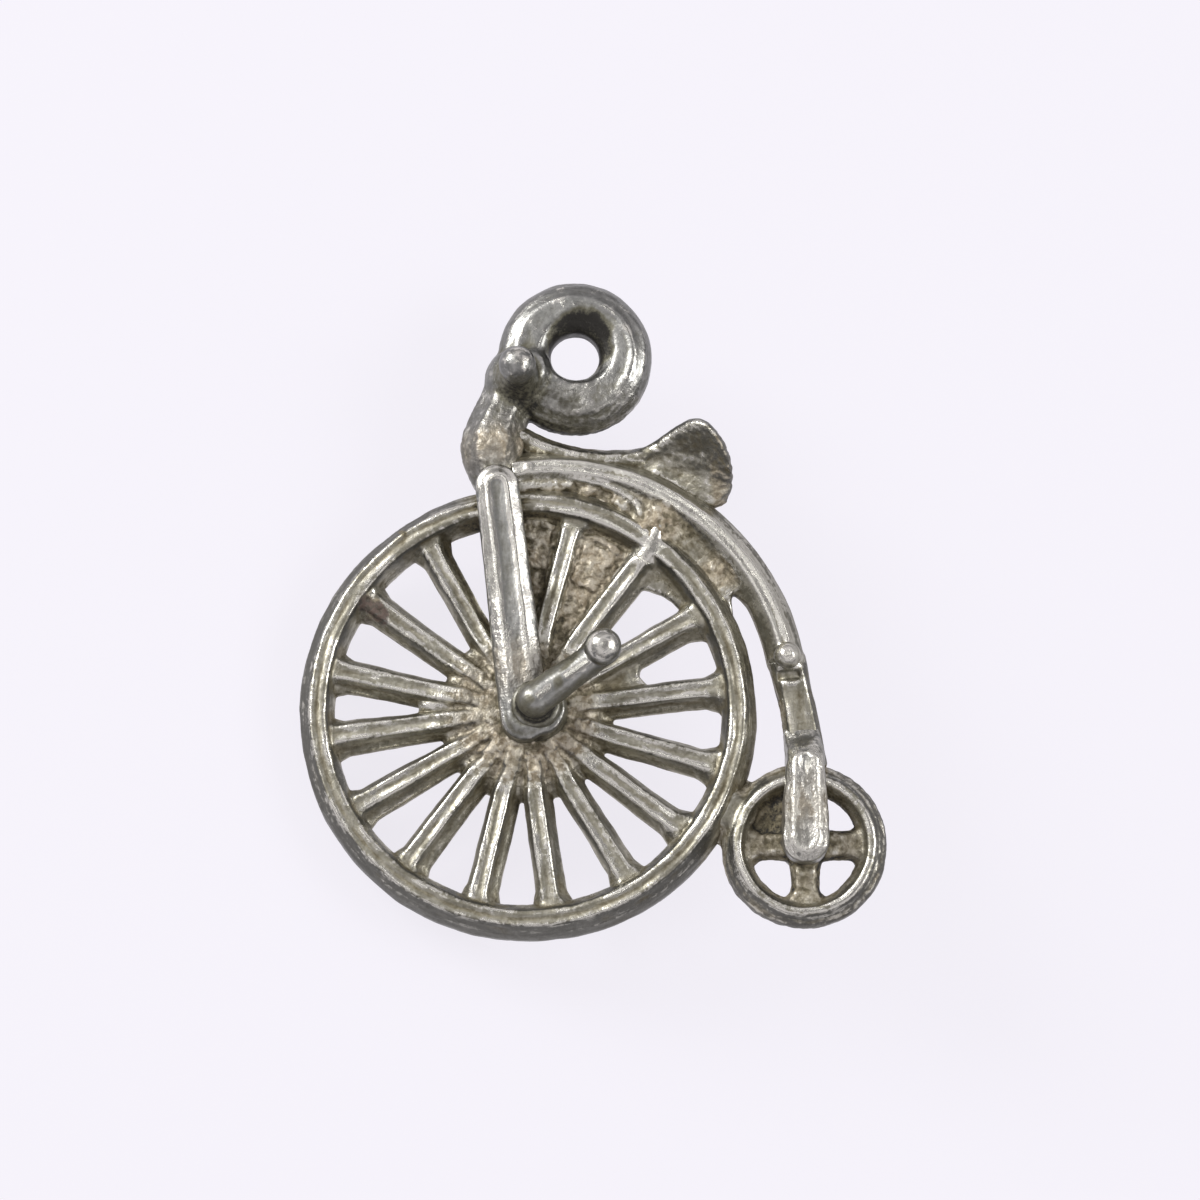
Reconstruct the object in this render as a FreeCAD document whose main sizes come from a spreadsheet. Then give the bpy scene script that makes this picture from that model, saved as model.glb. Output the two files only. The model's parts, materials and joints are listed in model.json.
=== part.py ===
"""Penny farthing bicycle charm, cast in one piece of sterling silver, in millimetres.

The bicycle is drawn standing in its own frame: the big wheel's centre at the origin, X towards the
little wheel, Y up towards the bail ring, Z out of the wheels' plane towards the near side.
Each form of the casting is a solid of its own that ends exactly where the next one begins.
The finished charm is then laid down on its far side, the way it comes to rest on a table.
"""
import FreeCAD, Part
import itertools
import math
import os
import Sketcher

Vector = FreeCAD.Vector
ALONG_Z = Vector(0, 0, 1)

os.makedirs("parts", exist_ok=True)
doc = FreeCAD.newDocument("PennyFarthingCharm")

# ---------------------------------------------------------------- driving sizes
# alias, value in mm or degrees, what it measures
SIZES = [
    ("front_radius", 7.45, "big wheel, outside of the rim"),
    ("rim_width", 1.0, "big rim, across its section in the wheel's plane"),
    ("rim_depth", 1.5, "big rim, from face to face"),
    ("rim_bevel", 0.26, "bevel along the rim's edges"),
    ("hub_radius", 2.72, "hub disc, where the gaps between the spokes begin"),
    ("hub_boss_radius", 1.25, "flat boss in the middle of the hub disc"),
    ("hub_edge_depth", 1.0, "hub disc, from face to face at its edge"),
    ("spoke_count", 16, "spokes of the big wheel"),
    ("spoke_angle", 4.6, "the first spoke, from the X axis"),
    ("spoke_root_width", 0.88, "spoke at the hub"),
    ("spoke_tip_width", 1.06, "spoke at the rim"),
    ("spoke_depth", 1.1, "spoke, from face to face"),
    ("spoke_bevel", 0.24, "bevel along a spoke"),
    ("spoke_seat", 0.6, "how far a spoke's blank runs into hub and rim before it is trimmed"),
    ("web_depth", 0.5, "skin of metal left between some spokes"),
    ("rear_fill_reach", 4.3, "short skin behind the crank, radius of its end"),
    ("front_fill_reach", 3.75, "short skin at the front of the hub, radius of its end"),
    ("fork_rake", 3.3, "fork, leaning back from the upright"),
    ("fork_rise", 0.95, "top of the fork leg, beyond the big rim"),
    ("fork_drop", 0.34, "centre of the fork leg's round end, below the axle"),
    ("fork_top_width", 1.28, "fork leg at its top"),
    ("fork_end_radius", 0.67, "round end of the fork leg"),
    ("fork_thickness", 0.95, "fork leg, out from the rim's face"),
    ("fork_bevel", 0.34, "bevel round the fork leg's outer face"),
    ("head_x", -0.62, "head lump, centre"),
    ("head_rise", 1.6, "head lump, centre beyond the big rim"),
    ("head_radius", 1.05, "head lump"),
    ("head_depth", 3.3, "head lump, from side to side"),
    ("head_round", 0.5, "rounding of the head lump's edges"),
    ("stem_root_radius", 0.9, "stem where it leaves the head"),
    ("stem_tip_radius", 0.8, "stem at the handlebar"),
    ("bar_behind", 1.0, "handlebar, centre behind the head's"),
    ("bar_above", 2.37, "handlebar, centre above the head's"),
    ("bar_reach", 2.6, "centre of the handlebar's end ball, out from the wheels' plane"),
    ("bar_root_radius", 0.74, "handlebar where it leaves the ring"),
    ("bar_neck_radius", 0.5, "handlebar behind its end ball"),
    ("bar_ball_radius", 0.58, "handlebar's end ball"),
    ("ring_behind", 2.93, "bail ring, centre behind the head's"),
    ("ring_above", 2.91, "bail ring, centre above the head's"),
    ("ring_radius", 2.51, "bail ring, outside"),
    ("ring_depth", 1.74, "bail ring, from face to face"),
    ("ring_bevel", 0.5, "bevel round the bail ring"),
    ("hole_radius", 0.84, "bail hole at its narrowest"),
    ("hole_land", 0.9, "straight stretch of the bail hole"),
    ("hole_flare", 0.36, "how much wider the bail hole is at the faces"),
    ("spring_behind", 0.71, "saddle spring bar, its start behind the head's centre"),
    ("spring_above", 0.47, "saddle spring bar, its start above the head's centre"),
    ("spring_radius", 6.22, "saddle spring bar, radius of its bend"),
    ("spring_start", -125.5, "saddle spring bar, direction of its start from the bend's centre"),
    ("spring_length", 5.1, "saddle spring bar, along its bend"),
    ("spring_width", 0.8, "saddle spring bar, across in the wheels' plane"),
    ("spring_depth", 1.2, "saddle spring bar, from face to face"),
    ("spring_bevel", 0.22, "bevel along the spring bar"),
    ("saddle_edge", 0.5, "thickness of the saddle's edge"),
    ("backbone_x", 0.87, "backbone, centre of its bend"),
    ("backbone_y", 0.32, "backbone, centre of its bend"),
    ("backbone_stand_off", 0.51, "backbone, radius of its bend more than the big rim's"),
    ("backbone_tail_angle", 6.5, "backbone, angle where the bend ends and the straight tail begins"),
    ("backbone_sweep", 91, "backbone, angle that the bend covers"),
    ("backbone_width", 1.2, "backbone, across in the wheels' plane"),
    ("backbone_depth", 1.6, "backbone, from face to face"),
    ("backbone_bevel", 0.3, "bevel along the backbone"),
    ("gusset_depth", 0.9, "web between the big rim and the backbone"),
    ("gusset_start", 27.5, "web under the backbone, angle of its lower end"),
    ("gusset_sweep", 70.5, "web under the backbone, angle that it covers"),
    ("step_angle", 7.7, "mounting step, its place along the backbone's bend"),
    ("step_reach", 1.1, "mounting step's ball, out from the wheels' plane"),
    ("step_radius", 0.42, "mounting step's ball"),
    ("rear_direction", -28.47, "direction of the little wheel from the big wheel's centre"),
    ("rim_gap", 0.156, "gap between the two rims"),
    ("rear_radius", 2.61, "little wheel, outside of the rim"),
    ("rear_rim_width", 0.9, "little rim, across its section"),
    ("rear_rim_depth", 1.3, "little rim, from face to face"),
    ("rear_rim_bevel", 0.25, "bevel along the little rim's edges"),
    ("rear_hub_radius", 0.8, "little wheel's hub"),
    ("rear_spoke_count", 4, "spokes of the little wheel"),
    ("rear_spoke_angle", -3.35, "the little wheel's first spoke, from the X axis"),
    ("rear_spoke_width", 0.92, "little wheel's spoke"),
    ("rear_spoke_depth", 0.9, "little wheel's spoke, from face to face"),
    ("rear_web_depth", 0.4, "skin of metal in the little wheel's upper front quarter"),
    ("rear_fork_lean", 2.9, "rear fork, leaning forwards from the upright"),
    ("rear_fork_rise", 0.84, "top of the rear fork leg, beyond the little rim"),
    ("rear_fork_top_width", 1.12, "rear fork leg at its top"),
    ("rear_fork_end_radius", 0.72, "round end of the rear fork leg"),
    ("rear_fork_thickness", 0.9, "rear fork leg, out from the little rim's face"),
    ("rear_fork_bevel", 0.3, "bevel round the rear fork leg's outer face"),
    ("bridge_length", 2.5, "metal between the two rims, along them"),
    ("bridge_width", 1.5, "metal between the two rims, blank from rim to rim"),
    ("bridge_depth", 1.0, "metal between the two rims, from face to face"),
    ("crank_angle", 33.2, "cranks, from the X axis"),
    ("crank_length", 3.17, "crank, from the axle to the pedal"),
    ("crank_start", 0.2, "crank's round root, beyond the axle"),
    ("crank_rise", 0.5, "crank's centre line, out from the fork leg's face"),
    ("crank_root_radius", 0.56, "crank at its root"),
    ("crank_tip_radius", 0.43, "crank at the pedal"),
    ("pedal_reach", 3.0, "centre of the pedal's ball, out from the wheels' plane"),
    ("pedal_neck_radius", 0.42, "pedal behind its ball"),
    ("pedal_ball_radius", 0.57, "pedal's end ball"),
]

sheet = doc.addObject("Spreadsheet::Sheet", "Sizes")
for row, (alias, value, meaning) in enumerate(SIZES, start=1):
    sheet.set(f"A{row}", meaning)
    sheet.set(f"B{row}", str(value))
    sheet.setAlias(f"B{row}", alias)
doc.recompute()


def value(expression):
    """What an expression over the sheet comes to, as a plain number."""
    return float(sheet.evalExpression(expression))


# Stations of the saddle, from its nose to its tail: how far behind the head's centre, the height of
# its top and of its foot beyond the big rim, and its half width across the top and at the foot.
SADDLE_COLUMNS = ("behind", "top", "foot", "half_top", "half_foot")
SADDLE_STATIONS = [
    ("nose", 4.92, 1.2, 0.65, 0.42, 0.35),
    ("waist", 6.12, 1.85, -0.25, 1.05, 0.42),
    ("seat", 6.97, 1.86, -0.9, 1.75, 0.5),
    ("back", 7.55, 1.4, -0.6, 2.0, 0.5),
    ("tail", 7.84, 0.75, 0.1, 1.6, 0.45),
]
saddle_sheet = doc.addObject("Spreadsheet::Sheet", "SaddleSizes")
for row, (station, *measures) in enumerate(SADDLE_STATIONS, start=1):
    for letter, column, measure in zip("ABCDE", SADDLE_COLUMNS, measures):
        saddle_sheet.set(f"{letter}{row}", str(measure))
        saddle_sheet.setAlias(f"{letter}{row}", f"{station}_{column}")
doc.recompute()

# Places that follow from the driving sizes
HEAD_Y = "(Sizes.front_radius + Sizes.head_rise)"
BAR_X = "(Sizes.head_x + Sizes.bar_behind)"
BAR_Y = f"({HEAD_Y} + Sizes.bar_above)"
RING_X = "(Sizes.head_x + Sizes.ring_behind)"
RING_Y = f"({HEAD_Y} + Sizes.ring_above)"
WHEEL_SPACING = "(Sizes.front_radius + Sizes.rear_radius + Sizes.rim_gap)"
REAR_X = f"({WHEEL_SPACING} * cos(Sizes.rear_direction))"
REAR_Y = f"({WHEEL_SPACING} * sin(Sizes.rear_direction))"
BACKBONE_RADIUS = "(Sizes.front_radius + Sizes.backbone_stand_off)"


# ---------------------------------------------------------------- ways of making a form
def place(thing, x="0", y="0", z="0", turn="0"):
    """Bind a form's position, and its turn about Z, to the sheet."""
    thing.Placement = FreeCAD.Placement(Vector(), FreeCAD.Rotation(ALONG_Z, 1))
    thing.setExpression(".Placement.Base.x", x)
    thing.setExpression(".Placement.Base.y", y)
    thing.setExpression(".Placement.Base.z", z)
    thing.setExpression(".Placement.Rotation.Angle", turn)
    return thing


def new_body(name):
    """A body of the document, hidden behind the finished piece that is cut from it."""
    return doc.addObject("PartDesign::Body", name)


def new_sketch(body, name, plane, height="0"):
    """A sketch on one of the body's own origin planes, at a height above it."""
    sketch = body.newObject("Sketcher::SketchObject", name)
    origin_plane = [item for item in body.Origin.OriginFeatures if item.Role == plane][0]
    sketch.AttachmentSupport = (origin_plane, [""])
    sketch.MapMode = "FlatFace"
    sketch.setExpression(".AttachmentOffset.Base.z", height)
    return sketch


def fix(sketch, kind, *where, to):
    """Add one constraint and bind its value to an expression."""
    number = sketch.addConstraint(Sketcher.Constraint(kind, *where, 1.0))
    sketch.setExpression(f"Constraints[{number}]", to)


def polygon(sketch, corners):
    """A closed outline through corners that are pairs of expressions."""
    count = len(corners)
    rough = [Vector(math.cos(step * math.tau / count), math.sin(step * math.tau / count), 0)
             for step in range(count)]
    for step in range(count):
        sketch.addGeometry(Part.LineSegment(rough[step], rough[(step + 1) % count]))
    for step, (x, y) in enumerate(corners):
        sketch.addConstraint(Sketcher.Constraint("Coincident", step, 2, (step + 1) % count, 1))
        fix(sketch, "DistanceX", step, 1, to=x)
        fix(sketch, "DistanceY", step, 1, to=y)


def bevelled_section(inner, outer, half_depth, bevel):
    """Corners of a bar's section, from radius inner to outer, with its four edges bevelled."""
    return [
        (f"{inner} + {bevel}", f"-{half_depth}"),
        (f"{outer} - {bevel}", f"-{half_depth}"),
        (f"{outer}", f"-{half_depth} + {bevel}"),
        (f"{outer}", f"{half_depth} - {bevel}"),
        (f"{outer} - {bevel}", f"{half_depth}"),
        (f"{inner} + {bevel}", f"{half_depth}"),
        (f"{inner}", f"{half_depth} - {bevel}"),
        (f"{inner}", f"-{half_depth} + {bevel}"),
    ]


def revolved(name, corners, sweep="360", axis="V_Axis", plane="XZ_Plane"):
    """A body turned from an outline, about the sketch's own axis."""
    body = new_body(name)
    sketch = new_sketch(body, f"{name}_section", plane)
    polygon(sketch, corners)
    turned = body.newObject("PartDesign::Revolution", f"{name}_turned")
    turned.Profile = sketch
    turned.ReferenceAxis = (sketch, [axis])
    turned.setExpression("Angle", sweep)
    body.Tip = turned
    return body


def turned_bar(name, stations):
    """A round bar along the body's X axis, from pairs of distance and radius."""
    first, last = stations[0][0], stations[-1][0]
    corners = [(first, "0"), *stations, (last, "0")]
    return revolved(name, corners, axis="H_Axis", plane="XY_Plane")


def slab(name, corners, depth, height="0"):
    """A plate of the outline, with its middle at a height above the wheels' plane."""
    body = new_body(name)
    sketch = new_sketch(body, f"{name}_outline", "XY_Plane", height)
    polygon(sketch, corners)
    pad = body.newObject("PartDesign::Pad", f"{name}_pad")
    pad.Profile = sketch
    pad.setExpression("Length", depth)
    pad.Midplane = True
    body.Tip = pad
    return body


def soften_edges(body, feature, wanted, amount):
    """Chamfer or fillet those edges of the body's last feature that satisfy the test."""
    doc.recompute()
    base = body.Tip
    names = [f"Edge{number}" for number, edge in enumerate(base.Shape.Edges, start=1) if wanted(edge)]
    softened = body.newObject(f"PartDesign::{feature}", f"{body.Name}_{feature}")
    softened.Base = (base, names)
    softened.setExpression({"Chamfer": "Size", "Fillet": "Radius"}[feature], amount)
    body.Tip = softened


def tongue(name, height, drop, top_half_width, end_radius, seat, thickness, bevel):
    """A fork leg: square at the top, round at the foot, its outer face bevelled all round.

    It hangs along the body's Y axis with the axle at the origin, and stands on the plane Z = seat.
    """
    body = new_body(name)
    sketch = new_sketch(body, f"{name}_outline", "XY_Plane", seat)
    half, radius, top, foot = value(top_half_width), value(end_radius), value(height), -value(drop)
    left = sketch.addGeometry(Part.LineSegment(Vector(-half, top, 0), Vector(-radius, foot, 0)))
    round_end = sketch.addGeometry(Part.ArcOfCircle(
        Part.Circle(Vector(0, foot, 0), ALONG_Z, radius), math.pi, math.tau))
    right = sketch.addGeometry(Part.LineSegment(Vector(radius, foot, 0), Vector(half, top, 0)))
    across = sketch.addGeometry(Part.LineSegment(Vector(half, top, 0), Vector(-half, top, 0)))
    sketch.addConstraint(Sketcher.Constraint("Tangent", left, 2, round_end, 1))
    sketch.addConstraint(Sketcher.Constraint("Tangent", round_end, 2, right, 1))
    sketch.addConstraint(Sketcher.Constraint("Coincident", right, 2, across, 1))
    sketch.addConstraint(Sketcher.Constraint("Coincident", across, 2, left, 1))
    fix(sketch, "Radius", round_end, to=end_radius)
    fix(sketch, "DistanceX", round_end, 3, to="0")
    fix(sketch, "DistanceY", round_end, 3, to=f"-{drop}")
    fix(sketch, "DistanceX", left, 1, to=f"-{top_half_width}")
    fix(sketch, "DistanceY", left, 1, to=height)
    fix(sketch, "DistanceX", right, 2, to=top_half_width)
    fix(sketch, "DistanceY", right, 2, to=height)
    pad = body.newObject("PartDesign::Pad", f"{name}_pad")
    pad.Profile = sketch
    pad.setExpression("Length", thickness)
    body.Tip = pad
    middle = value(f"{seat} + {thickness} / 2")
    soften_edges(body, "Chamfer", lambda edge: edge.BoundBox.ZMin > middle, bevel)
    return body


def ball(name, radius, x, y, z):
    """A ball at a bound place."""
    sphere = doc.addObject("Part::Sphere", name)
    sphere.setExpression("Radius", radius)
    return place(sphere, x, y, z)


def upright_cone(name, low_radius, high_radius, low, high, x, y):
    """A round taper that stands out of the wheels' plane, from height low to high."""
    cone = doc.addObject("Part::Cone", name)
    cone.setExpression("Radius1", low_radius)
    cone.setExpression("Radius2", high_radius)
    cone.setExpression("Height", f"{high} - ({low})")
    return place(cone, x, y, low)


def fused(name, *pieces):
    """One form made of several."""
    union = doc.addObject("Part::MultiFuse", name)
    union.Shapes = list(pieces)
    return union


def mirrored(name, source):
    """The far twin of a near form, across the wheels' plane."""
    twin = doc.addObject("Part::Mirroring", name)
    twin.Source = source
    twin.Normal = ALONG_Z
    return twin


finished = []


def finish(label, blank, *neighbours):
    """The finished piece: the blank, less the forms that it seats against."""
    if neighbours:
        piece = doc.addObject("Part::Cut", label)
        piece.Base = blank
        piece.Tool = fused(f"{label}_seat", *neighbours) if len(neighbours) > 1 else neighbours[0]
    else:
        piece = doc.addObject("Part::Compound", label)
        piece.Links = [blank]
    piece.Label = label
    finished.append(piece)
    return piece


# ---------------------------------------------------------------- big wheel
front_rim = revolved("rim_blank", bevelled_section(
    "(Sizes.front_radius - Sizes.rim_width)", "Sizes.front_radius", "Sizes.rim_depth / 2",
    "Sizes.rim_bevel"))
front_hub = revolved("hub_blank", [
    ("0", "-Sizes.rim_depth / 2"),
    ("Sizes.hub_boss_radius", "-Sizes.rim_depth / 2"),
    ("Sizes.hub_radius", "-Sizes.hub_edge_depth / 2"),
    ("Sizes.hub_radius", "Sizes.hub_edge_depth / 2"),
    ("Sizes.hub_boss_radius", "Sizes.rim_depth / 2"),
    ("0", "Sizes.rim_depth / 2"),
])


def spoke_blank(number):
    """One tapered spoke with bevelled edges, turned to its place in the wheel."""
    root = "Sizes.hub_radius - Sizes.spoke_seat"
    tip = "Sizes.front_radius - Sizes.rim_width + Sizes.spoke_seat"
    body = slab(f"spoke_blank_{number:02d}", [
        (root, "-Sizes.spoke_root_width / 2"),
        (tip, "-Sizes.spoke_tip_width / 2"),
        (tip, "Sizes.spoke_tip_width / 2"),
        (root, "Sizes.spoke_root_width / 2"),
    ], "Sizes.spoke_depth")
    soften_edges(body, "Chamfer", lambda edge: edge.BoundBox.XLength > value("Sizes.hub_radius / 2"),
                 "Sizes.spoke_bevel")
    return place(body, turn=f"Sizes.spoke_angle + {number - 1} * 360 / Sizes.spoke_count")


spokes = [spoke_blank(number) for number in range(1, int(value("Sizes.spoke_count")) + 1)]
spoke_names = [f"front_spoke_{number:02d}" for number in range(1, len(spokes) + 1)]

finish("front_rim", front_rim)
finish("front_hub", front_hub)
for name, spoke in zip(spoke_names, spokes):
    finish(name, spoke, front_rim, front_hub)

# name, the spoke that it starts from, and the radius that it reaches
INTO_RIM = "Sizes.front_radius - Sizes.rim_width / 2"
SPOKE_WEBS = [
    ("spoke_web_rear", "front_spoke_03", INTO_RIM),
    ("spoke_web_front", "front_spoke_04", INTO_RIM),
    ("hub_fill_rear", "front_spoke_01", "Sizes.rear_fill_reach"),
    ("hub_fill_front", "front_spoke_08", "Sizes.front_fill_reach"),
]
for name, first_spoke, reach in SPOKE_WEBS:
    sector = spoke_names.index(first_spoke)
    blank = revolved(f"{name}_blank", [
        ("Sizes.hub_radius / 2", "-Sizes.web_depth / 2"),
        (reach, "-Sizes.web_depth / 2"),
        (reach, "Sizes.web_depth / 2"),
        ("Sizes.hub_radius / 2", "Sizes.web_depth / 2"),
    ], sweep="360 / Sizes.spoke_count")
    place(blank, turn=f"Sizes.spoke_angle + {sector} * 360 / Sizes.spoke_count")
    finish(name, blank, front_rim, front_hub, spokes[sector], spokes[(sector + 1) % len(spokes)])

# ---------------------------------------------------------------- little wheel
rear_rim = place(revolved("rear_rim_blank", bevelled_section(
    "(Sizes.rear_radius - Sizes.rear_rim_width)", "Sizes.rear_radius", "Sizes.rear_rim_depth / 2",
    "Sizes.rear_rim_bevel")), REAR_X, REAR_Y)
rear_hub = doc.addObject("Part::Cylinder", "rear_hub_blank")
rear_hub.setExpression("Radius", "Sizes.rear_hub_radius")
rear_hub.setExpression("Height", "Sizes.rear_rim_depth")
place(rear_hub, REAR_X, REAR_Y, "-Sizes.rear_rim_depth / 2")

finish("rear_rim", rear_rim)
finish("rear_hub", rear_hub)
rear_spokes = []
for number in range(1, int(value("Sizes.rear_spoke_count")) + 1):
    spoke = slab(f"rear_spoke_blank_{number}", [
        ("0", "-Sizes.rear_spoke_width / 2"),
        ("Sizes.rear_radius - Sizes.rear_rim_width / 2", "-Sizes.rear_spoke_width / 2"),
        ("Sizes.rear_radius - Sizes.rear_rim_width / 2", "Sizes.rear_spoke_width / 2"),
        ("0", "Sizes.rear_spoke_width / 2"),
    ], "Sizes.rear_spoke_depth")
    place(spoke, REAR_X, REAR_Y,
          turn=f"Sizes.rear_spoke_angle + {number - 1} * 360 / Sizes.rear_spoke_count")
    rear_spokes.append(spoke)
    finish(f"rear_spoke_{number}", spoke, rear_rim, rear_hub)

rear_web = revolved("rear_web_blank", [
    ("Sizes.rear_hub_radius / 2", "-Sizes.rear_web_depth / 2"),
    ("Sizes.rear_radius - Sizes.rear_rim_width / 2", "-Sizes.rear_web_depth / 2"),
    ("Sizes.rear_radius - Sizes.rear_rim_width / 2", "Sizes.rear_web_depth / 2"),
    ("Sizes.rear_hub_radius / 2", "Sizes.rear_web_depth / 2"),
], sweep="360 / Sizes.rear_spoke_count")
place(rear_web, REAR_X, REAR_Y, turn="Sizes.rear_spoke_angle + 360 / Sizes.rear_spoke_count")
finish("rear_web", rear_web, rear_rim, rear_hub, rear_spokes[1], rear_spokes[2])

# metal between the rims, across the line that joins the wheels' centres
bridge = slab("bridge_blank", [
    ("Sizes.front_radius - Sizes.bridge_width / 2", "-Sizes.bridge_length / 2"),
    ("Sizes.front_radius + Sizes.bridge_width / 2", "-Sizes.bridge_length / 2"),
    ("Sizes.front_radius + Sizes.bridge_width / 2", "Sizes.bridge_length / 2"),
    ("Sizes.front_radius - Sizes.bridge_width / 2", "Sizes.bridge_length / 2"),
], "Sizes.bridge_depth")
place(bridge, turn="Sizes.rear_direction")
finish("rim_bridge", bridge, front_rim, rear_rim)

# ---------------------------------------------------------------- head, ring and handlebar
head = revolved("head_blank", [
    ("0", "-Sizes.head_depth / 2"),
    ("Sizes.head_radius", "-Sizes.head_depth / 2"),
    ("Sizes.head_radius", "Sizes.head_depth / 2"),
    ("0", "Sizes.head_depth / 2"),
])
soften_edges(head, "Fillet", lambda edge: edge.Curve.TypeId == "Part::GeomCircle", "Sizes.head_round")
place(head, "Sizes.head_x", HEAD_Y)

ring = place(revolved("ring_blank", [
    ("Sizes.hole_radius + Sizes.hole_flare", "-Sizes.ring_depth / 2"),
    ("Sizes.ring_radius - Sizes.ring_bevel", "-Sizes.ring_depth / 2"),
    ("Sizes.ring_radius", "-Sizes.ring_depth / 2 + Sizes.ring_bevel"),
    ("Sizes.ring_radius", "Sizes.ring_depth / 2 - Sizes.ring_bevel"),
    ("Sizes.ring_radius - Sizes.ring_bevel", "Sizes.ring_depth / 2"),
    ("Sizes.hole_radius + Sizes.hole_flare", "Sizes.ring_depth / 2"),
    ("Sizes.hole_radius", "Sizes.hole_land / 2"),
    ("Sizes.hole_radius", "-Sizes.hole_land / 2"),
]), RING_X, RING_Y)

stem = place(turned_bar("stem_blank", [
    ("0", "Sizes.stem_root_radius"),
    ("sqrt(Sizes.bar_behind^2 + Sizes.bar_above^2)", "Sizes.stem_tip_radius"),
]), "Sizes.head_x", HEAD_Y, turn="90 deg - atan(Sizes.bar_behind / Sizes.bar_above)")

near_bar = fused(
    "near_bar_blank",
    upright_cone("near_bar_taper", "Sizes.bar_root_radius", "Sizes.bar_neck_radius", "0",
                 "Sizes.bar_reach", BAR_X, BAR_Y),
    ball("near_bar_ball", "Sizes.bar_ball_radius", BAR_X, BAR_Y, "Sizes.bar_reach"))
far_bar = mirrored("far_bar_blank", near_bar)

finish("head", head)
finish("bail_ring", ring, head)
finish("stem", stem, head, ring)
finish("near_handlebar", near_bar, ring, stem)
finish("far_handlebar", far_bar, ring, stem)

# ---------------------------------------------------------------- fork and cranks
near_leg = place(
    tongue("near_leg_blank", "(Sizes.front_radius + Sizes.fork_rise)", "Sizes.fork_drop",
           "Sizes.fork_top_width / 2", "Sizes.fork_end_radius",
           "Sizes.rim_depth / 2", "Sizes.fork_thickness", "Sizes.fork_bevel"),
    turn="Sizes.fork_rake")
far_leg = mirrored("far_leg_blank", near_leg)
finish("near_fork_leg", near_leg, head, front_rim)
finish("far_fork_leg", far_leg, head, front_rim)

LEG_FACE = "(Sizes.rim_depth / 2 + Sizes.fork_thickness)"
CRANK_HEIGHT = f"({LEG_FACE} + Sizes.crank_rise)"
crank_bar = place(turned_bar("crank_bar", [
    ("Sizes.crank_start", "Sizes.crank_root_radius"),
    ("Sizes.crank_length", "Sizes.crank_tip_radius"),
]), "0", "0", CRANK_HEIGHT, turn="Sizes.crank_angle")
crank_root = ball("crank_root", "Sizes.crank_root_radius", "Sizes.crank_start * cos(Sizes.crank_angle)",
                  "Sizes.crank_start * sin(Sizes.crank_angle)", CRANK_HEIGHT)
PEDAL_X = "Sizes.crank_length * cos(Sizes.crank_angle)"
PEDAL_Y = "Sizes.crank_length * sin(Sizes.crank_angle)"
crank_tip = ball("crank_tip", "Sizes.crank_tip_radius", PEDAL_X, PEDAL_Y, CRANK_HEIGHT)
near_crank = fused("near_crank_blank", crank_bar, crank_root, crank_tip)
near_pedal = fused(
    "near_pedal_blank",
    upright_cone("near_pedal_neck", "Sizes.pedal_neck_radius", "Sizes.pedal_neck_radius",
                 CRANK_HEIGHT, "Sizes.pedal_reach", PEDAL_X, PEDAL_Y),
    ball("near_pedal_ball", "Sizes.pedal_ball_radius", PEDAL_X, PEDAL_Y, "Sizes.pedal_reach"))
far_crank = mirrored("far_crank_blank", near_crank)
far_pedal = mirrored("far_pedal_blank", near_pedal)
finish("near_crank", near_crank, near_leg)
finish("far_crank", far_crank, far_leg)
finish("near_pedal", near_pedal, near_crank)
finish("far_pedal", far_pedal, far_crank)

# ---------------------------------------------------------------- backbone, saddle and rear fork
BACKBONE_SECTION = bevelled_section(
    f"({BACKBONE_RADIUS} - Sizes.backbone_width / 2)",
    f"({BACKBONE_RADIUS} + Sizes.backbone_width / 2)",
    "Sizes.backbone_depth / 2", "Sizes.backbone_bevel")
backbone = revolved("backbone_blank", BACKBONE_SECTION, sweep="Sizes.backbone_sweep")
tail_sketch = new_sketch(backbone, "backbone_tail_section", "XZ_Plane")
polygon(tail_sketch, BACKBONE_SECTION)
tail = backbone.newObject("PartDesign::Pad", "backbone_tail_pad")
tail.Profile = tail_sketch
BEND_END_Y = f"(Sizes.backbone_y + {BACKBONE_RADIUS} * sin(Sizes.backbone_tail_angle))"
INTO_REAR_RIM = f"({REAR_Y} + Sizes.rear_radius - Sizes.rear_rim_width / 2)"
tail.setExpression("Length", f"({BEND_END_Y} - {INTO_REAR_RIM}) / cos(Sizes.backbone_tail_angle)")
backbone.Tip = tail
place(backbone, "Sizes.backbone_x", "Sizes.backbone_y", turn="Sizes.backbone_tail_angle")

GUSSET_OUTSIDE = f"{BACKBONE_RADIUS} + Sizes.backbone_width / 2"
gusset = revolved("gusset_blank", [
    ("Sizes.front_radius - Sizes.rim_width / 2", "-Sizes.gusset_depth / 2"),
    (GUSSET_OUTSIDE, "-Sizes.gusset_depth / 2"),
    (GUSSET_OUTSIDE, "Sizes.gusset_depth / 2"),
    ("Sizes.front_radius - Sizes.rim_width / 2", "Sizes.gusset_depth / 2"),
], sweep="Sizes.gusset_sweep")
place(gusset, turn="Sizes.gusset_start")

spring = place(revolved("spring_blank", bevelled_section(
    "(Sizes.spring_radius - Sizes.spring_width / 2)",
    "(Sizes.spring_radius + Sizes.spring_width / 2)",
    "Sizes.spring_depth / 2", "Sizes.spring_bevel"),
    sweep="Sizes.spring_length / Sizes.spring_radius * 180 / pi"),
    "Sizes.head_x + Sizes.spring_behind - Sizes.spring_radius * cos(Sizes.spring_start)",
    f"{HEAD_Y} + Sizes.spring_above - Sizes.spring_radius * sin(Sizes.spring_start)",
    turn="Sizes.spring_start")

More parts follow.
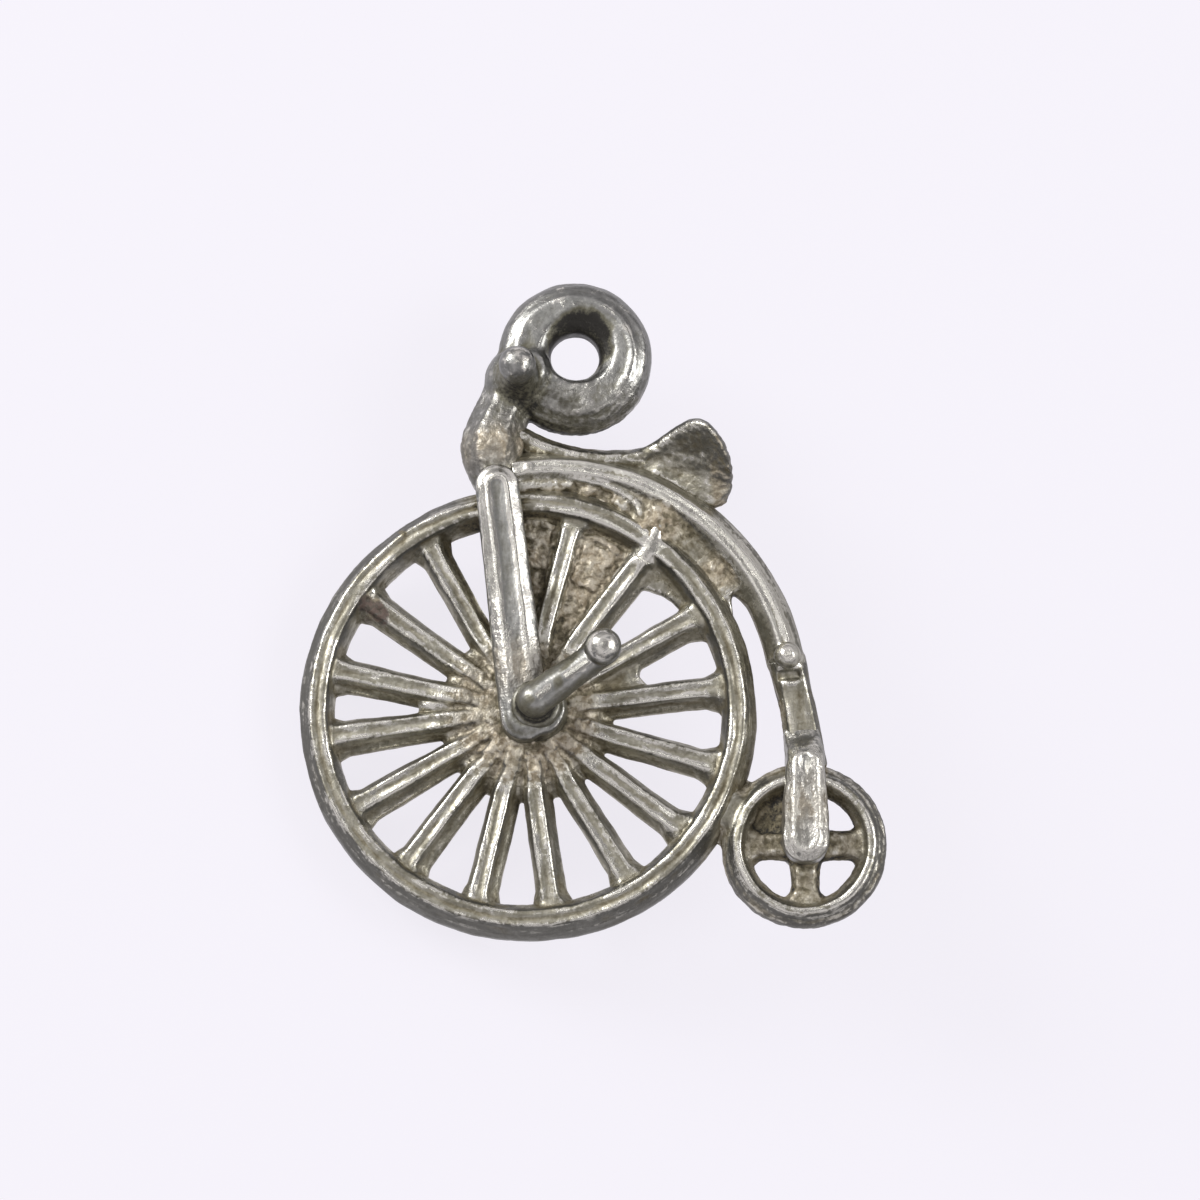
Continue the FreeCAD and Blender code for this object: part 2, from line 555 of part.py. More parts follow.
saddle = new_body("saddle_blank")
saddle_sections = []
for station, *_ in SADDLE_STATIONS:
    cell = f"SaddleSizes.{station}"
    section = new_sketch(saddle, f"saddle_{station}", "YZ_Plane", f"Sizes.head_x + {cell}_behind")
    polygon(section, [
        (f"Sizes.front_radius + {cell}_top", f"-{cell}_half_top"),
        (f"Sizes.front_radius + {cell}_top", f"{cell}_half_top"),
        (f"Sizes.front_radius + {cell}_top - Sizes.saddle_edge", f"{cell}_half_top"),
        (f"Sizes.front_radius + {cell}_foot", f"{cell}_half_foot"),
        (f"Sizes.front_radius + {cell}_foot", f"-{cell}_half_foot"),
        (f"Sizes.front_radius + {cell}_top - Sizes.saddle_edge", f"-{cell}_half_top"),
    ])
    saddle_sections.append(section)
saddle_loft = saddle.newObject("PartDesign::AdditiveLoft", "saddle_loft")
saddle_loft.Profile = saddle_sections[0]
saddle_loft.Sections = saddle_sections[1:]
saddle_loft.Ruled = True
saddle.Tip = saddle_loft

STEP_X = f"(Sizes.backbone_x + {BACKBONE_RADIUS} * cos(Sizes.step_angle))"
STEP_Y = f"(Sizes.backbone_y + {BACKBONE_RADIUS} * sin(Sizes.step_angle))"
step = fused(
    "step_blank",
    ball("step_ball", "Sizes.step_radius", STEP_X, STEP_Y, "Sizes.step_reach"),
    upright_cone("step_neck", "Sizes.step_radius", "Sizes.step_radius", "0", "Sizes.step_reach",
                 STEP_X, STEP_Y))

near_rear_leg = place(
    tongue("near_rear_leg_blank", "(Sizes.rear_radius + Sizes.rear_fork_rise)", "0",
           "Sizes.rear_fork_top_width / 2", "Sizes.rear_fork_end_radius",
           "Sizes.rear_rim_depth / 2", "Sizes.rear_fork_thickness", "Sizes.rear_fork_bevel"),
    REAR_X, REAR_Y, turn="-Sizes.rear_fork_lean")
far_rear_leg = mirrored("far_rear_leg_blank", near_rear_leg)

finish("backbone", backbone, head, rear_rim)
finish("saddle_spring", spring, head, backbone, ring, stem)
finish("saddle", saddle, backbone, spring)
finish("backbone_web", gusset, front_rim, backbone, head, near_leg, far_leg, spring)
finish("mounting_step", step, backbone)
finish("near_rear_fork_leg", near_rear_leg, backbone, rear_rim)
finish("far_rear_fork_leg", far_rear_leg, backbone, rear_rim)

doc.recompute()
for thing in doc.Objects:
    if "Invalid" in thing.State or "Error" in thing.State:
        raise RuntimeError(f"{thing.Name} failed: {thing.State}")
for piece in finished:
    if piece.Shape.isNull() or not piece.Shape.isValid() or not piece.Shape.Solids:
        raise RuntimeError(f"{piece.Label} has no sound solid")


# ---------------------------------------------------------------- laid down as it comes to rest
FACET_ERROR = 0.01  # how far facets may stray from the metal's surface when the rest is worked out
SQUARE = 0.2  # side of the squares that the far side is looked at in
MOST_LEAN = 30  # degrees that the charm may lean when it lies down


def centre_of_mass(pieces):
    """Centre of mass of all the pieces, which are of one metal."""
    total = sum(piece.Shape.Volume for piece in pieces)
    weighted = Vector()
    for piece in pieces:
        for solid in piece.Shape.Solids:
            weighted += solid.CenterOfMass * solid.Volume
    return weighted / total


def far_side(pieces):
    """Points of the far side: the lowest in each small square of the wheels' plane."""
    lowest = {}
    for piece in pieces:
        for point in piece.Shape.tessellate(FACET_ERROR)[0]:
            square = (round(point.x / SQUARE), round(point.y / SQUARE))
            if square not in lowest or point.z < lowest[square].z:
                lowest[square] = point
    return list(lowest.values())


def supports(points):
    """Those points that stick out furthest in one of many downward directions."""
    found = {}
    for lean, heading in itertools.product(range(0, MOST_LEAN + 1, 3), range(0, 360, 10)):
        across = math.sin(math.radians(lean))
        down = Vector(across * math.cos(math.radians(heading)), across * math.sin(math.radians(heading)),
                      -math.cos(math.radians(lean)))
        furthest = max(points, key=down.dot)
        found[(furthest.x, furthest.y, furthest.z)] = furthest
    return list(found.values())


def encloses(three, inside):
    """Whether the triangle holds the point, both seen along Z."""
    turns = [(end.x - start.x) * (inside.y - start.y) - (end.y - start.y) * (inside.x - start.x)
             for start, end in zip(three, three[1:] + three[:1])]
    return abs(sum(turns)) > 1e-3 and (min(turns) >= 0 or max(turns) <= 0)


def upward_normal(three):
    """The unit normal of a triangle, on the side that faces up."""
    normal = (three[1] - three[0]).cross(three[2] - three[0])
    normal.normalize()
    return normal if normal.z > 0 else -normal


def height_under(three, point):
    """Z of the triangle's plane below a point."""
    normal = upward_normal(three)
    return three[0].z - (normal.x * (point.x - three[0].x) + normal.y * (point.y - three[0].y)) / normal.z


def resting_turn(pieces):
    """The rotation that lays the charm down on three points of its far side.

    Those are the three that enclose its centre of mass and hold it lowest. It tips over from one
    such triangle to the next until it stays on the same one.
    """
    balance = centre_of_mass(pieces)
    points = far_side(pieces)
    turn = FreeCAD.Rotation()
    for _ in range(8):
        turned_balance = turn.multVec(balance)
        feet = supports([turn.multVec(point) for point in points])
        triangles = [three for three in itertools.combinations(feet, 3) if encloses(three, turned_balance)]
        stand = min(triangles, key=lambda three: height_under(three, turned_balance))
        tip = FreeCAD.Rotation(upward_normal(stand), ALONG_Z)
        turn = tip.multiply(turn)
        if tip.Angle < 1e-6:
            break
    return turn


upright = Part.Compound([piece.Shape for piece in finished])
lay_down = FreeCAD.Placement(Vector(), resting_turn(finished))
lying = upright.copy()
lying.Placement = lay_down
box = lying.optimalBoundingBox()
lay_down.Base = Vector(-(box.XMin + box.XMax) / 2, -(box.YMin + box.YMax) / 2, -box.ZMin)
for piece in finished:
    piece.Placement = lay_down

for piece in finished:
    piece.Shape.exportStep(f"parts/{piece.Label}.step")

volume = sum(piece.Shape.Volume for piece in finished)
print(f"{len(finished)} pieces, {volume:.2f} mm3, box {box.XLength:.2f} x {box.YLength:.2f} x {box.ZLength:.2f}")
print("turned", math.degrees(lay_down.Rotation.Angle), "about", lay_down.Rotation.Axis)
print("bail hole", lay_down.multVec(Vector(value(RING_X), value(RING_Y), 0)))
print("bail axis", lay_down.Rotation.multVec(ALONG_Z))
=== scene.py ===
"""Penny farthing bicycle charm: the looks of its sterling silver casting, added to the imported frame.

The charm is modelled standing, in millimetres: the big wheel's centre at the origin, X towards the
little wheel, Y up towards the bail ring, Z out of the wheels' plane towards the near side. Each
casting is then laid down as the frame has it, in metres.
"""

import bmesh
import bpy
import json
import math
import numpy as np
from functools import partial
from bpy.props import FloatProperty, FloatVectorProperty, IntProperty, PointerProperty
from mathutils import Matrix, Vector, noise
from mathutils.bvhtree import BVHTree


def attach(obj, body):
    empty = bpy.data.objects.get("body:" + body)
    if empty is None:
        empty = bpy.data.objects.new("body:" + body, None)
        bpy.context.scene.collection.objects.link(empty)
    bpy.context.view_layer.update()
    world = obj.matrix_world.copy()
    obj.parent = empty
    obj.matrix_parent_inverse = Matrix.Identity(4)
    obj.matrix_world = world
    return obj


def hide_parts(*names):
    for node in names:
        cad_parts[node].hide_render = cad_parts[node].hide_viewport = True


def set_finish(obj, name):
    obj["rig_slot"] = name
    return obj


bl_info = {
    "name": "Penny Farthing Charm",
    "version": (1, 0, 0),
    "blender": (4, 5, 0),
    "location": "View3D > Sidebar > Charm",
    "description": "Cast silver surfaces, light and camera for a penny farthing bicycle charm",
    "category": "Object",
}

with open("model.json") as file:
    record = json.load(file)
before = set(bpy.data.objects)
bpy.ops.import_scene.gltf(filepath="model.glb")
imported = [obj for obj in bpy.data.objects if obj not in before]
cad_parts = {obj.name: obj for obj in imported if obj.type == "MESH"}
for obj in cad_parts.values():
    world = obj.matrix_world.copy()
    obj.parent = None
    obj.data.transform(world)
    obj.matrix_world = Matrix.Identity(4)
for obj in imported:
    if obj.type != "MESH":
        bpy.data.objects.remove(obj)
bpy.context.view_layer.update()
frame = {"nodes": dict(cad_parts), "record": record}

MM = 0.001
BAIL_HOLE = frame["record"]["mounts"][0]
LEAN = Vector((0, 0, 1)).rotation_difference(Vector(BAIL_HOLE["axis"])).to_matrix().to_4x4()


def unleaned(node):
    """A node's points, turned upright, in millimetres."""
    upright = LEAN.inverted()
    return np.array([upright @ vertex.co for vertex in frame["nodes"][node].data.vertices]) / MM


def middle_of(points):
    """Centre of the points' box."""
    return (points.min(0) + points.max(0)) / 2


AXLE = middle_of(unleaned("front_hub"))
LAID = LEAN @ Matrix.Scale(MM, 4) @ Matrix.Translation(AXLE)


def low_corner(node):
    """Lowest corner of a node's box in the standing charm."""
    return Vector(unleaned(node).min(0) - AXLE)


def high_corner(node):
    """Highest corner of a node's box in the standing charm."""
    return Vector(unleaned(node).max(0) - AXLE)


def centre_of(node):
    """Centre of a node's box in the standing charm."""
    return (low_corner(node) + high_corner(node)) / 2


# -------- sizes and colours
def length(name, description, millimetres):
    """A size that a user may change, kept in metres."""
    return FloatProperty(name=name, description=description, default=millimetres * MM, min=0.0,
                         precision=5, subtype="DISTANCE", unit="LENGTH")


def linear(hex_colour):
    """An sRGB hex colour as linear red, green and blue."""
    channels = [int(hex_colour[start:start + 2], 16) / 255 for start in (1, 3, 5)]
    return [part / 12.92 if part <= 0.04045 else ((part + 0.055) / 1.055) ** 2.4 for part in channels]


def colour(name, description, hex_colour):
    """A colour that a user may change."""
    return FloatVectorProperty(name=name, description=description, default=linear(hex_colour), size=3,
                               min=0.0, max=1.0, subtype="COLOR")


class CharmSizes(bpy.types.PropertyGroup):
    """Sizes of the charm's castings."""

    grit: length("Grit", "Edge of the smallest facets that the castings are made of",
                 0.05)
    front_radius: length("Big wheel radius", "Outside of the big rim", high_corner("front_rim").x)
    rim_depth: length("Rim depth", "Big rim from face to face", 2 * high_corner("front_rim").z)
    hub_radius: length("Hub radius", "Where the gaps between the spokes begin", high_corner("front_hub").x)
    spoke_count: IntProperty(name="Spokes", description="Spokes of the big wheel", default=16, min=3)
    rear_radius: length("Little wheel radius", "Outside of the little rim",
                        high_corner("rear_rim").x - centre_of("rear_hub").x)
    ring_radius: length("Ring radius", "Outside of the bail ring",
                        high_corner("bail_ring").x - centre_of("bail_ring").x)
    hole_radius: length("Hole radius", "Bail hole at its narrowest", BAIL_HOLE["dims"]["r_mm"])
    lumps: length("Lumps", "How far the cast faces swell and sink", 0.03)


class CharmFinish(bpy.types.PropertyGroup):
    """Colours of the silver."""

    # the grey, tarnish and deep colours also paint shade and dark reflections where a casting's stain calls
    # for them, and the rubbed colour paints the crank's highlight
    rubbed: colour("Rubbed silver", "Ridges that wear keeps bright", "#E2DFD4")
    cast: colour("Cast silver", "Open faces", "#BDB9AA")
    cast_dim: colour("Dim silver", "Dim streaks in the open faces", "#7F7B6C")
    polished: colour("Polished metal", "Faces that were polished after casting", "#BBBAB4")
    polished_dim: colour("Dim polish", "Dim streaks in the polished faces", "#7C7C78")
    golden: colour("Golden tarnish", "Thin tarnish on the grainy faces", "#B9AE99")
    golden_dim: colour("Brown tarnish", "Thicker tarnish between its grains", "#82755E")
    # the wall colour is dull silver for the outer slopes, darkened further as a painted dark reflection
    wall_and_dark_reflection: colour("Walls", "Outer slopes that are seldom rubbed", "#5E5E5B")
    grey: colour("Grey tarnish", "Tarnish on the faces that were polished", "#7C7969")
    grey_dim: colour("Dark grey tarnish", "Dark streaks in the grey tarnish", "#4A4738")
    tarnish: colour("Tarnish", "Flanks and corners that wear doesn't reach", "#887F66")
    tarnish_dim: colour("Dark tarnish", "Dark streaks in the tarnish", "#564F3C")
    deep: colour("Deep tarnish", "Creases and pits", "#32302C")
    dirt: colour("Dirt", "The spot stuck at a spoke's end", "#594B42")
    dirt_dim: colour("Dark dirt", "Cracks in the dirt", "#2E2521")


def mm(size):
    """One of the sizes, in millimetres."""
    return getattr(bpy.context.scene.charm_sizes, size) / MM


# -------- forms of the castings
def at(x=0.0, y=0.0, z=0.0, turn=0.0):
    """A place in the standing charm, turned by so many degrees about the wheels' axis."""
    return Matrix.Translation((x, y, z)) @ Matrix.Rotation(math.radians(turn), 4, "Z")


def polar(radius, angle, z=0.0, centre=(0.0, 0.0)):
    """A point by its distance and direction from a wheel's centre."""
    return Vector((centre[0] + radius * math.cos(math.radians(angle)),
                   centre[1] + radius * math.sin(math.radians(angle)), z))


def add_rod(form, start, end, start_radius, end_radius):
    """A round taper from one point to another."""
    start, end = Vector(start), Vector(end)
    along = end - start
    place = (Matrix.Translation((start + end) / 2)
             @ Vector((0, 0, 1)).rotation_difference(along).to_matrix().to_4x4())
    bmesh.ops.create_cone(form, cap_ends=True, segments=32, radius1=start_radius, radius2=end_radius,
                          depth=along.length, matrix=place)


def add_pin(form, centre, low, high, low_radius, high_radius):
    """A round taper out of the wheels' plane, over a place of the view."""
    add_rod(form, (centre[0], centre[1], low), (centre[0], centre[1], high), low_radius, high_radius)


def add_ball(form, centre, radius, stretch=(1, 1, 1), turn=0.0):
    """A ball, or an egg where it is stretched."""
    place = at(*centre, turn=turn) @ Matrix.Diagonal((*stretch, 1))
    bmesh.ops.create_uvsphere(form, u_segments=32, v_segments=16, radius=radius, matrix=place)


def add_string(form, points, radius):
    """A string of round links through the points."""
    for start, end in zip(points, points[1:]):
        add_rod(form, start, end, radius, radius)
        add_ball(form, end, radius)
    add_ball(form, points[0], radius)


def add_hoop(form, place, section, sweep=360.0):
    """A section of radius and height pairs, turned about the place's Z axis."""
    before = set(form.verts)
    corners = [form.verts.new((radius, 0, height)) for radius, height in section]
    whole = sweep == 360.0
    if whole:
        geometry = corners + [form.edges.new(pair) for pair in zip(corners, corners[1:] + corners[:1])]
    else:
        face = form.faces.new(corners)
        geometry = corners + list(face.edges) + [face]
    bmesh.ops.spin(form, geom=geometry, cent=(0, 0, 0), axis=(0, 0, 1), angle=math.radians(sweep),
                   steps=max(8, round(sweep / 3)), use_merge=whole)
    bmesh.ops.transform(form, matrix=place, verts=[vertex for vertex in form.verts if vertex not in before])


def add_loft(form, loops):
    """A skin over closed loops of points, closed at both ends."""
    rings = []
    for loop in loops:
        corners = [form.verts.new(point) for point in loop]
        rings.append([form.edges.new(pair) for pair in zip(corners, corners[1:] + corners[:1])])
    for ring, following in zip(rings, rings[1:]):
        bmesh.ops.bridge_loops(form, edges=ring + following)
    bmesh.ops.edgeloop_fill(form, edges=rings[0])
    bmesh.ops.edgeloop_fill(form, edges=rings[-1])


def add_sector(form, stations, inner_share=1.0):
    """A plate round the axle through stations of angle, inner and outer radius and half depth."""
    add_loft(form, [[polar(inner, angle, -deep * inner_share), polar(outer, angle, -deep),
                     polar(outer, angle, deep), polar(inner, angle, deep * inner_share)]
                    for angle, inner, outer, deep in stations])


def bar_loop(place, x, width, face, low, high, slope=0.35):
    """One section of a bar along the place's X axis: its width, and its narrower top and foot faces."""
    mid_low, mid_high = low + (high - low) * slope, high - (high - low) * slope
    half, top = width / 2, face / 2
    corners = [(-top, low), (top, low), (half, mid_low), (half, mid_high), (top, high), (-top, high),
               (-half, mid_high), (-half, mid_low)]
    return [place @ Vector((x, y, z)) for y, z in corners]


def add_bar(form, place, stations, slope=0.35):
    """A bar along the place's X axis through stations of place, width, face, low and high side."""
    add_loft(form, [bar_loop(place, *station, slope) for station in stations])


def add_even_bar(form, place, stations, slope=0.35):
    """A bar as deep on its far side as on its near one."""
    add_bar(form, place, [(*station, -deep, deep) for *station, deep in stations], slope)


def bar_section(inner, outer, half_depth, face_inner, face_outer, flank=0.3):
    """Corners of a hoop's section whose faces run between two radii and whose flanks slope to them."""
    return [(face_inner, -half_depth), (face_outer, -half_depth), (outer, -flank), (outer, flank),
            (face_outer, half_depth), (face_inner, half_depth), (inner, flank), (inner, -flank)]


def oblong(inner, outer, low, high):
    """Corners of a hoop's oblong section."""
    return [(inner, low), (outer, low), (outer, high), (inner, high)]


def mirrored(form):
    """The far twin of a near form."""
    twin = form.copy()
    bmesh.ops.scale(twin, vec=(1, 1, -1), verts=twin.verts)
    bmesh.ops.reverse_faces(twin, faces=twin.faces)
    return twin


# -------- from a form to a casting
MOST_TRIANGLES = 190000
STREAK_LENGTH = 4.5  # times as long as they are wide
STREAK_RELIEF = 0.007
GRAIN_RELIEF = 0.03
CAST_SKIN = 0.02  # how far a casting stands out from its form
castings = []


def step(values, low, high):
    """0 below low, 1 above high, and a smooth rise between."""
    share = np.clip((values - low) / (high - low), 0, 1)
    return share * share * (3 - 2 * share)


def fall(values, low, high):
    """1 below low, 0 above high, and a smooth fall between."""
    return 1 - step(values, low, high)


def ridge(values, middle, spread):
    """1 at the middle and 0 away from it, falling off like a bell."""
    return np.exp(-((values - middle) / spread) ** 2)


def off_line(points, start, end):
    """How far points lie from a straight line between two places of the view."""
    start, along = np.array(start[:2]), np.array(end[:2]) - np.array(start[:2])
    from_start = points[:, :2] - start
    share = np.clip(from_start @ along / (along @ along), 0, 1)
    return np.hypot(*(from_start - share[:, None] * along).T)


def away_from(points, centre):
    """How far points lie from a place of the view."""
    return np.hypot(points[:, 0] - centre[0], points[:, 1] - centre[1])


def turned_out(outward, low=0.5, high=0.9):
    """1 on the faces that look out of the wheels' plane and 0 on the flanks."""
    return step(np.abs(outward[:, 2]), low, high)


def raised(points, lift):
    """The points, lifted out of the wheels' plane on both of its sides."""
    points = points.copy()
    points[:, 2] += np.sign(points[:, 2]) * lift
    return points


def lumpy(points, size, seed):
    """Seeded noise between about -1 and 1, with swellings of a size."""
    offset = Vector((seed * 17.3, seed * 5.1, seed * 9.7))
    return np.array([noise.noise(Vector(point) / size + offset) for point in points])


def bar_flow(points, direction=90.0, longer=STREAK_LENGTH):
    """Places for streaks that run along a bar of a direction."""
    turn = math.radians(direction)
    along = points[:, 0] * math.cos(turn) + points[:, 1] * math.sin(turn)
    across = points[:, 1] * math.cos(turn) - points[:, 0] * math.sin(turn)
    return np.stack([along / longer, across, points[:, 2]], axis=1)


def hoop_flow(points, centre=(0.0, 0.0), longer=STREAK_LENGTH):
    """Places for streaks that run round a hoop."""
    across, up = points[:, 0] - centre[0], points[:, 1] - centre[1]
    away = np.maximum(np.hypot(across, up), 0.01)
    shorter = np.median(away) / longer / away
    return np.stack([across * shorter, up * shorter, away - 1.3 * np.abs(points[:, 2])], axis=1)


def places_and_normals(mesh):
    """The mesh's points and their normals as arrays."""
    arrays = []
    for kind in ("co", "normal"):
        flat = np.empty(len(mesh.vertices) * 3, np.float32)
        mesh.vertices.foreach_get(kind, flat)
        arrays.append(flat.reshape(-1, 3).astype(float))
    return arrays


def add_object(name, data):
    """A new object in the scene."""
    thing = bpy.data.objects.new(name, data)
    bpy.context.scene.collection.objects.link(thing)
    return thing


def mesh_of(form, name):
    """A form as a mesh."""
    mesh = bpy.data.meshes.new(name)
    form.to_mesh(mesh)
    form.free()
    return mesh


def give_points(mesh, **attributes):
    """Give each point of the mesh a value of each attribute."""
    for name, values in attributes.items():
        mesh.attributes.new(name, "FLOAT", "POINT").data.foreach_set("value", values.astype(np.float32))


def settled(piece):
    """The piece's mesh with its modifiers applied."""
    depsgraph = bpy.context.evaluated_depsgraph_get()
    mesh = bpy.data.meshes.new_from_object(piece.evaluated_get(depsgraph))
    piece.modifiers.clear()
    old = piece.data
    piece.data = mesh
    bpy.data.meshes.remove(old)
    return mesh


def cast(form, name, nodes, slot, seed, shape=None, soften=0.09, lumps=1.0, grainy=None, stain=None,
         flow=bar_flow, crust=0.0, dirt=None):
    """Pour a form: its parts run together, its edges soften and its faces come out uneven.

    soften says how far, in millimetres. shape moves the points of the smooth casting, grainy says how
    rough each of them is, stain how much darker or brighter than its shelter makes it each point is,
    through tarnish and wear and, on some castings, through painted shade, painted dark reflections
    and painted highlights, flow which way its streaks run, crust raises islands on the roughest, and
    dirt says where some has stuck.
    """
    bmesh.ops.recalc_face_normals(form, faces=form.faces)
    piece = add_object(name, mesh_of(form, name))
    poured = piece.modifiers.new("Poured", "REMESH")
    poured.mode = "VOXEL"
    poured.voxel_size = mm("grit")
    softened = piece.modifiers.new("Softened", "SMOOTH")
    softened.factor = 0.5
    softened.iterations = max(2, round((2 * soften / mm("grit")) ** 2))
    mesh = settled(piece)

    points, outward = places_and_normals(mesh)

    def said_of_points(rule):
        """What a rule says of each point, and 0 where there is no rule."""
        return np.zeros(len(points)) if rule is None else rule(points)

    # the stain values hold tarnish and wear, and on some castings painted shade, painted dark reflections
    # and painted highlights
    rough, stained = np.clip(said_of_points(grainy), 0, 1), said_of_points(stain)
    if shape is not None:
        points = points + spread_places(shape(points, outward) - points, edge_pairs(mesh), 3)
    lumpiness = lumpy(points, 1.5, seed) + 0.6 * lumpy(points, 0.55, seed + 1)
    swell = (CAST_SKIN + mm("lumps") * lumps * lumpiness
             + rough * GRAIN_RELIEF * (lumpy(points, 0.32, seed + 2) + lumpy(points, 0.16, seed + 3)))
    if crust:
        islands = lumpy(points, 0.5, seed + 4) + 0.5 * lumpy(points, 0.22, seed + 5)
        swell += crust * step(rough, 0.6, 0.9) * (step(islands, -0.05, 0.12) - 0.5)
    streamed = flow(points)
    streaks = lumpy(streamed, 0.24, seed + 6) + 0.6 * lumpy(streamed, 0.12, seed + 7)
    points = points + outward * (swell + STREAK_RELIEF * streaks)[:, None]
    mesh.vertices.foreach_set("co", points.astype(np.float32).ravel())
    give_points(mesh, grainy=rough, stain=stained, dirt=said_of_points(dirt))
    mesh.attributes.new("flow", "FLOAT_VECTOR", "POINT").data.foreach_set(
        "vector", streamed.astype(np.float32).ravel())
    mesh.update()
    triangles = 2 * len(mesh.polygons)
    if triangles > MOST_TRIANGLES:
        thinned = piece.modifiers.new("Thinned", "DECIMATE")
        thinned.ratio = MOST_TRIANGLES / triangles
        mesh = settled(piece)
    mesh.transform(LAID)
    mesh.shade_smooth()
    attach(piece, "root")
    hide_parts(*nodes)
    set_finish(piece, slot)
    castings.append(piece)


def cast_pair(near, name, nodes, seeds, **ways):
    """Cast a polished near form and its far twin."""
    for form, side, seed in zip((near, mirrored(near)), ("near", "far"), seeds):
        cast(form, f"{side}_{name}_cast", [f"{side}_{node}" for node in nodes], "polished_silver", seed,
             **ways)


# -------- big wheel
# How many degrees each spoke leans from its even place
SPOKE_LEANS = (-0.9, -1.2, -0.4, 0.0, -0.4, -0.9, 1.2, 2.1, -0.6, -0.4, 0.0, 1.0, 0.3, 1.4, 0.5, -1.0)
FIRST_SPOKE = 4.6  # its direction in degrees
SPOKE_STEP = 22.5  # degrees from spoke to spoke
SPOKE_FACE_WIDTH = 0.46  # the flat along a spoke's ridge
MOULD_SHIFT = (-0.03, 0.13)  # the near half of the mould sits this far off the far half
RIM_DRIFT = 0.08  # the cast rim sits this far towards the little wheel
RIM_SECTION = {"inner": 6.47, "outer": 7.56, "face_inner": 6.7, "face_outer": 7.2}
RIM_RIDGES = (6.82, 7.16)  # radii of the two ridges that run round it


def spoke_angles():
    """Directions of the big wheel's spokes."""
    count = bpy.context.scene.charm_sizes.spoke_count
    return [FIRST_SPOKE + 360 * number / count + SPOKE_LEANS[number % len(SPOKE_LEANS)]
            for number in range(count)]


def spread_of(points):
    """Distance and direction of points from the axle, in millimetres and degrees."""
    return np.hypot(points[:, 0], points[:, 1]), np.degrees(np.arctan2(points[:, 1], points[:, 0])) % 360


# The skins between spokes: the spoke they start from, their outer radius and half depth
WHEEL_SKINS = [(2, 6.9, 0.22), (3, 6.9, 0.22), (0, 3.75, 0.25), (7, 3.5, 0.22)]


def wheel_shape(points, outward):
    """Ridges along the rim and the spokes, grooves round the hub, and the mould's two halves apart."""
    radius, angle = spread_of(points)
    rim_radius = away_from(points, (RIM_DRIFT, 0))
    wander = 0.06 * lumpy(points, 1.6, 2)
    under_web = 1 - ridge(angle, 52, 7)
    lift = sum(0.05 * ridge(rim_radius, place + wander, 0.09) * (1 + 0.9 * lumpy(points, 1.3, place)) * kept
               for place, kept in zip(RIM_RIDGES, (1, under_web)))
    lift -= 0.03 * ridge(rim_radius, sum(RIM_RIDGES) / 2 + wander, 0.08)
    on_spoke = step(radius, 2.2, 2.9) * fall(radius, 6.2, 6.5)
    for direction in spoke_angles():
        across = radius * np.sin(np.radians(angle - direction))
        ahead = np.cos(np.radians(angle - direction)) > 0.9
        edges = ridge(np.abs(across), SPOKE_FACE_WIDTH / 2 - 0.02, 0.06) - 0.7 * ridge(across, 0, 0.09)
        lift += 0.055 * edges * on_spoke * ahead
    lift *= 0.7 + 0.8 * lumpy(points, 0.8, 3)
    grooved = step(radius, 1.25, 1.5) * fall(radius, 2.1, 2.6)
    lower = ridge(angle, 275, 45)
    lift += 0.035 * grooved * lower * np.sin(np.radians(angle) * 38 + 2 * np.sin(np.radians(angle * 5)))
    points = raised(points, lift * turned_out(outward))
    near = step(points[:, 2], 0.0, 0.35)
    points[:, 0] += (MOULD_SHIFT[0] - 0.08 * on_spoke) * near
    points[:, 1] += MOULD_SHIFT[1] * near
    # the rim was filed a little flat at two places
    filed = (0.13 * ridge(angle, 122, 22) + 0.1 * ridge(angle, 262, 42)) * step(radius, 7.1, 7.8)
    points[:, :2] *= (1 - filed / np.maximum(radius, 1))[:, None]
    return points


def wheel_stain(points):
    """The rim is dull, its inner ridge and the third spoke's head are rubbed, a nick is black, and painted
    shade darkens the corner beside the third spoke.
    """
    radius, angle = spread_of(points)
    spokes = step(radius, 2.4, 3.0) * fall(radius, 6.2, 6.6)
    upper = step(angle, 49, 53) * fall(angle, 92, 95)
    # painted shade in the corner beside the third spoke, by the rim's inner wall
    corner = ridge(angle, 39, 6) * step(radius, 5.2, 5.8) * fall(radius, 6.5, 6.8)
    rim = step(radius, 6.4, 6.6) * (1 - ridge(angle, 50, 20))
    from_head = off_line(points, polar(6.7, 49.6), polar(7.5, 51.0)) + 0.12 * lumpy(points, 0.4, 9)
    head = fall(from_head, 0.26, 0.44)
    inner_ridge = ridge(radius, RIM_RIDGES[0], 0.12) * ridge(angle, 66, 12)
    nick = fall(off_line(points, polar(7.12, 121), polar(7.28, 121.3)), 0.05, 0.12)
    return (0.32 * rim - 1.2 * head - 0.8 * inner_ridge + 0.04 * spokes * (1 - upper)
            - 0.08 * fall(radius, 2.4, 3.0) + 0.25 * corner + 1.3 * nick * (points[:, 2] > 0))


def wheel_dirt(points):
    """A reddish brown spot at the end of the upper left spoke."""
    away = off_line(points, polar(5.9, 142.4), polar(6.4, 141.9)) + 0.2 * lumpy(points, 0.3, 12)
    return fall(away, 0.24, 0.38) * (points[:, 2] > 0)


def wheel_flow(points):
    """Streaks run round the rim and along the spokes."""
    radius, angle = spread_of(points)
    flow = hoop_flow(points)
    flow[:, :2] *= 7.0 / np.median(radius)
    angles = np.array(spoke_angles())
    nearest = np.abs((angle[:, None] - angles + 180) % 360 - 180).argmin(1)
    off = np.radians(angle - angles[nearest])
    on_spoke = np.stack([radius * np.cos(off) / STREAK_LENGTH, radius * np.sin(off) + 5 * nearest,
                         points[:, 2]], 1)
    flow = np.where((radius > 6.45)[:, None], flow, on_spoke)
    return np.where((wheel_grain(points) > 0.6)[:, None], points, flow)


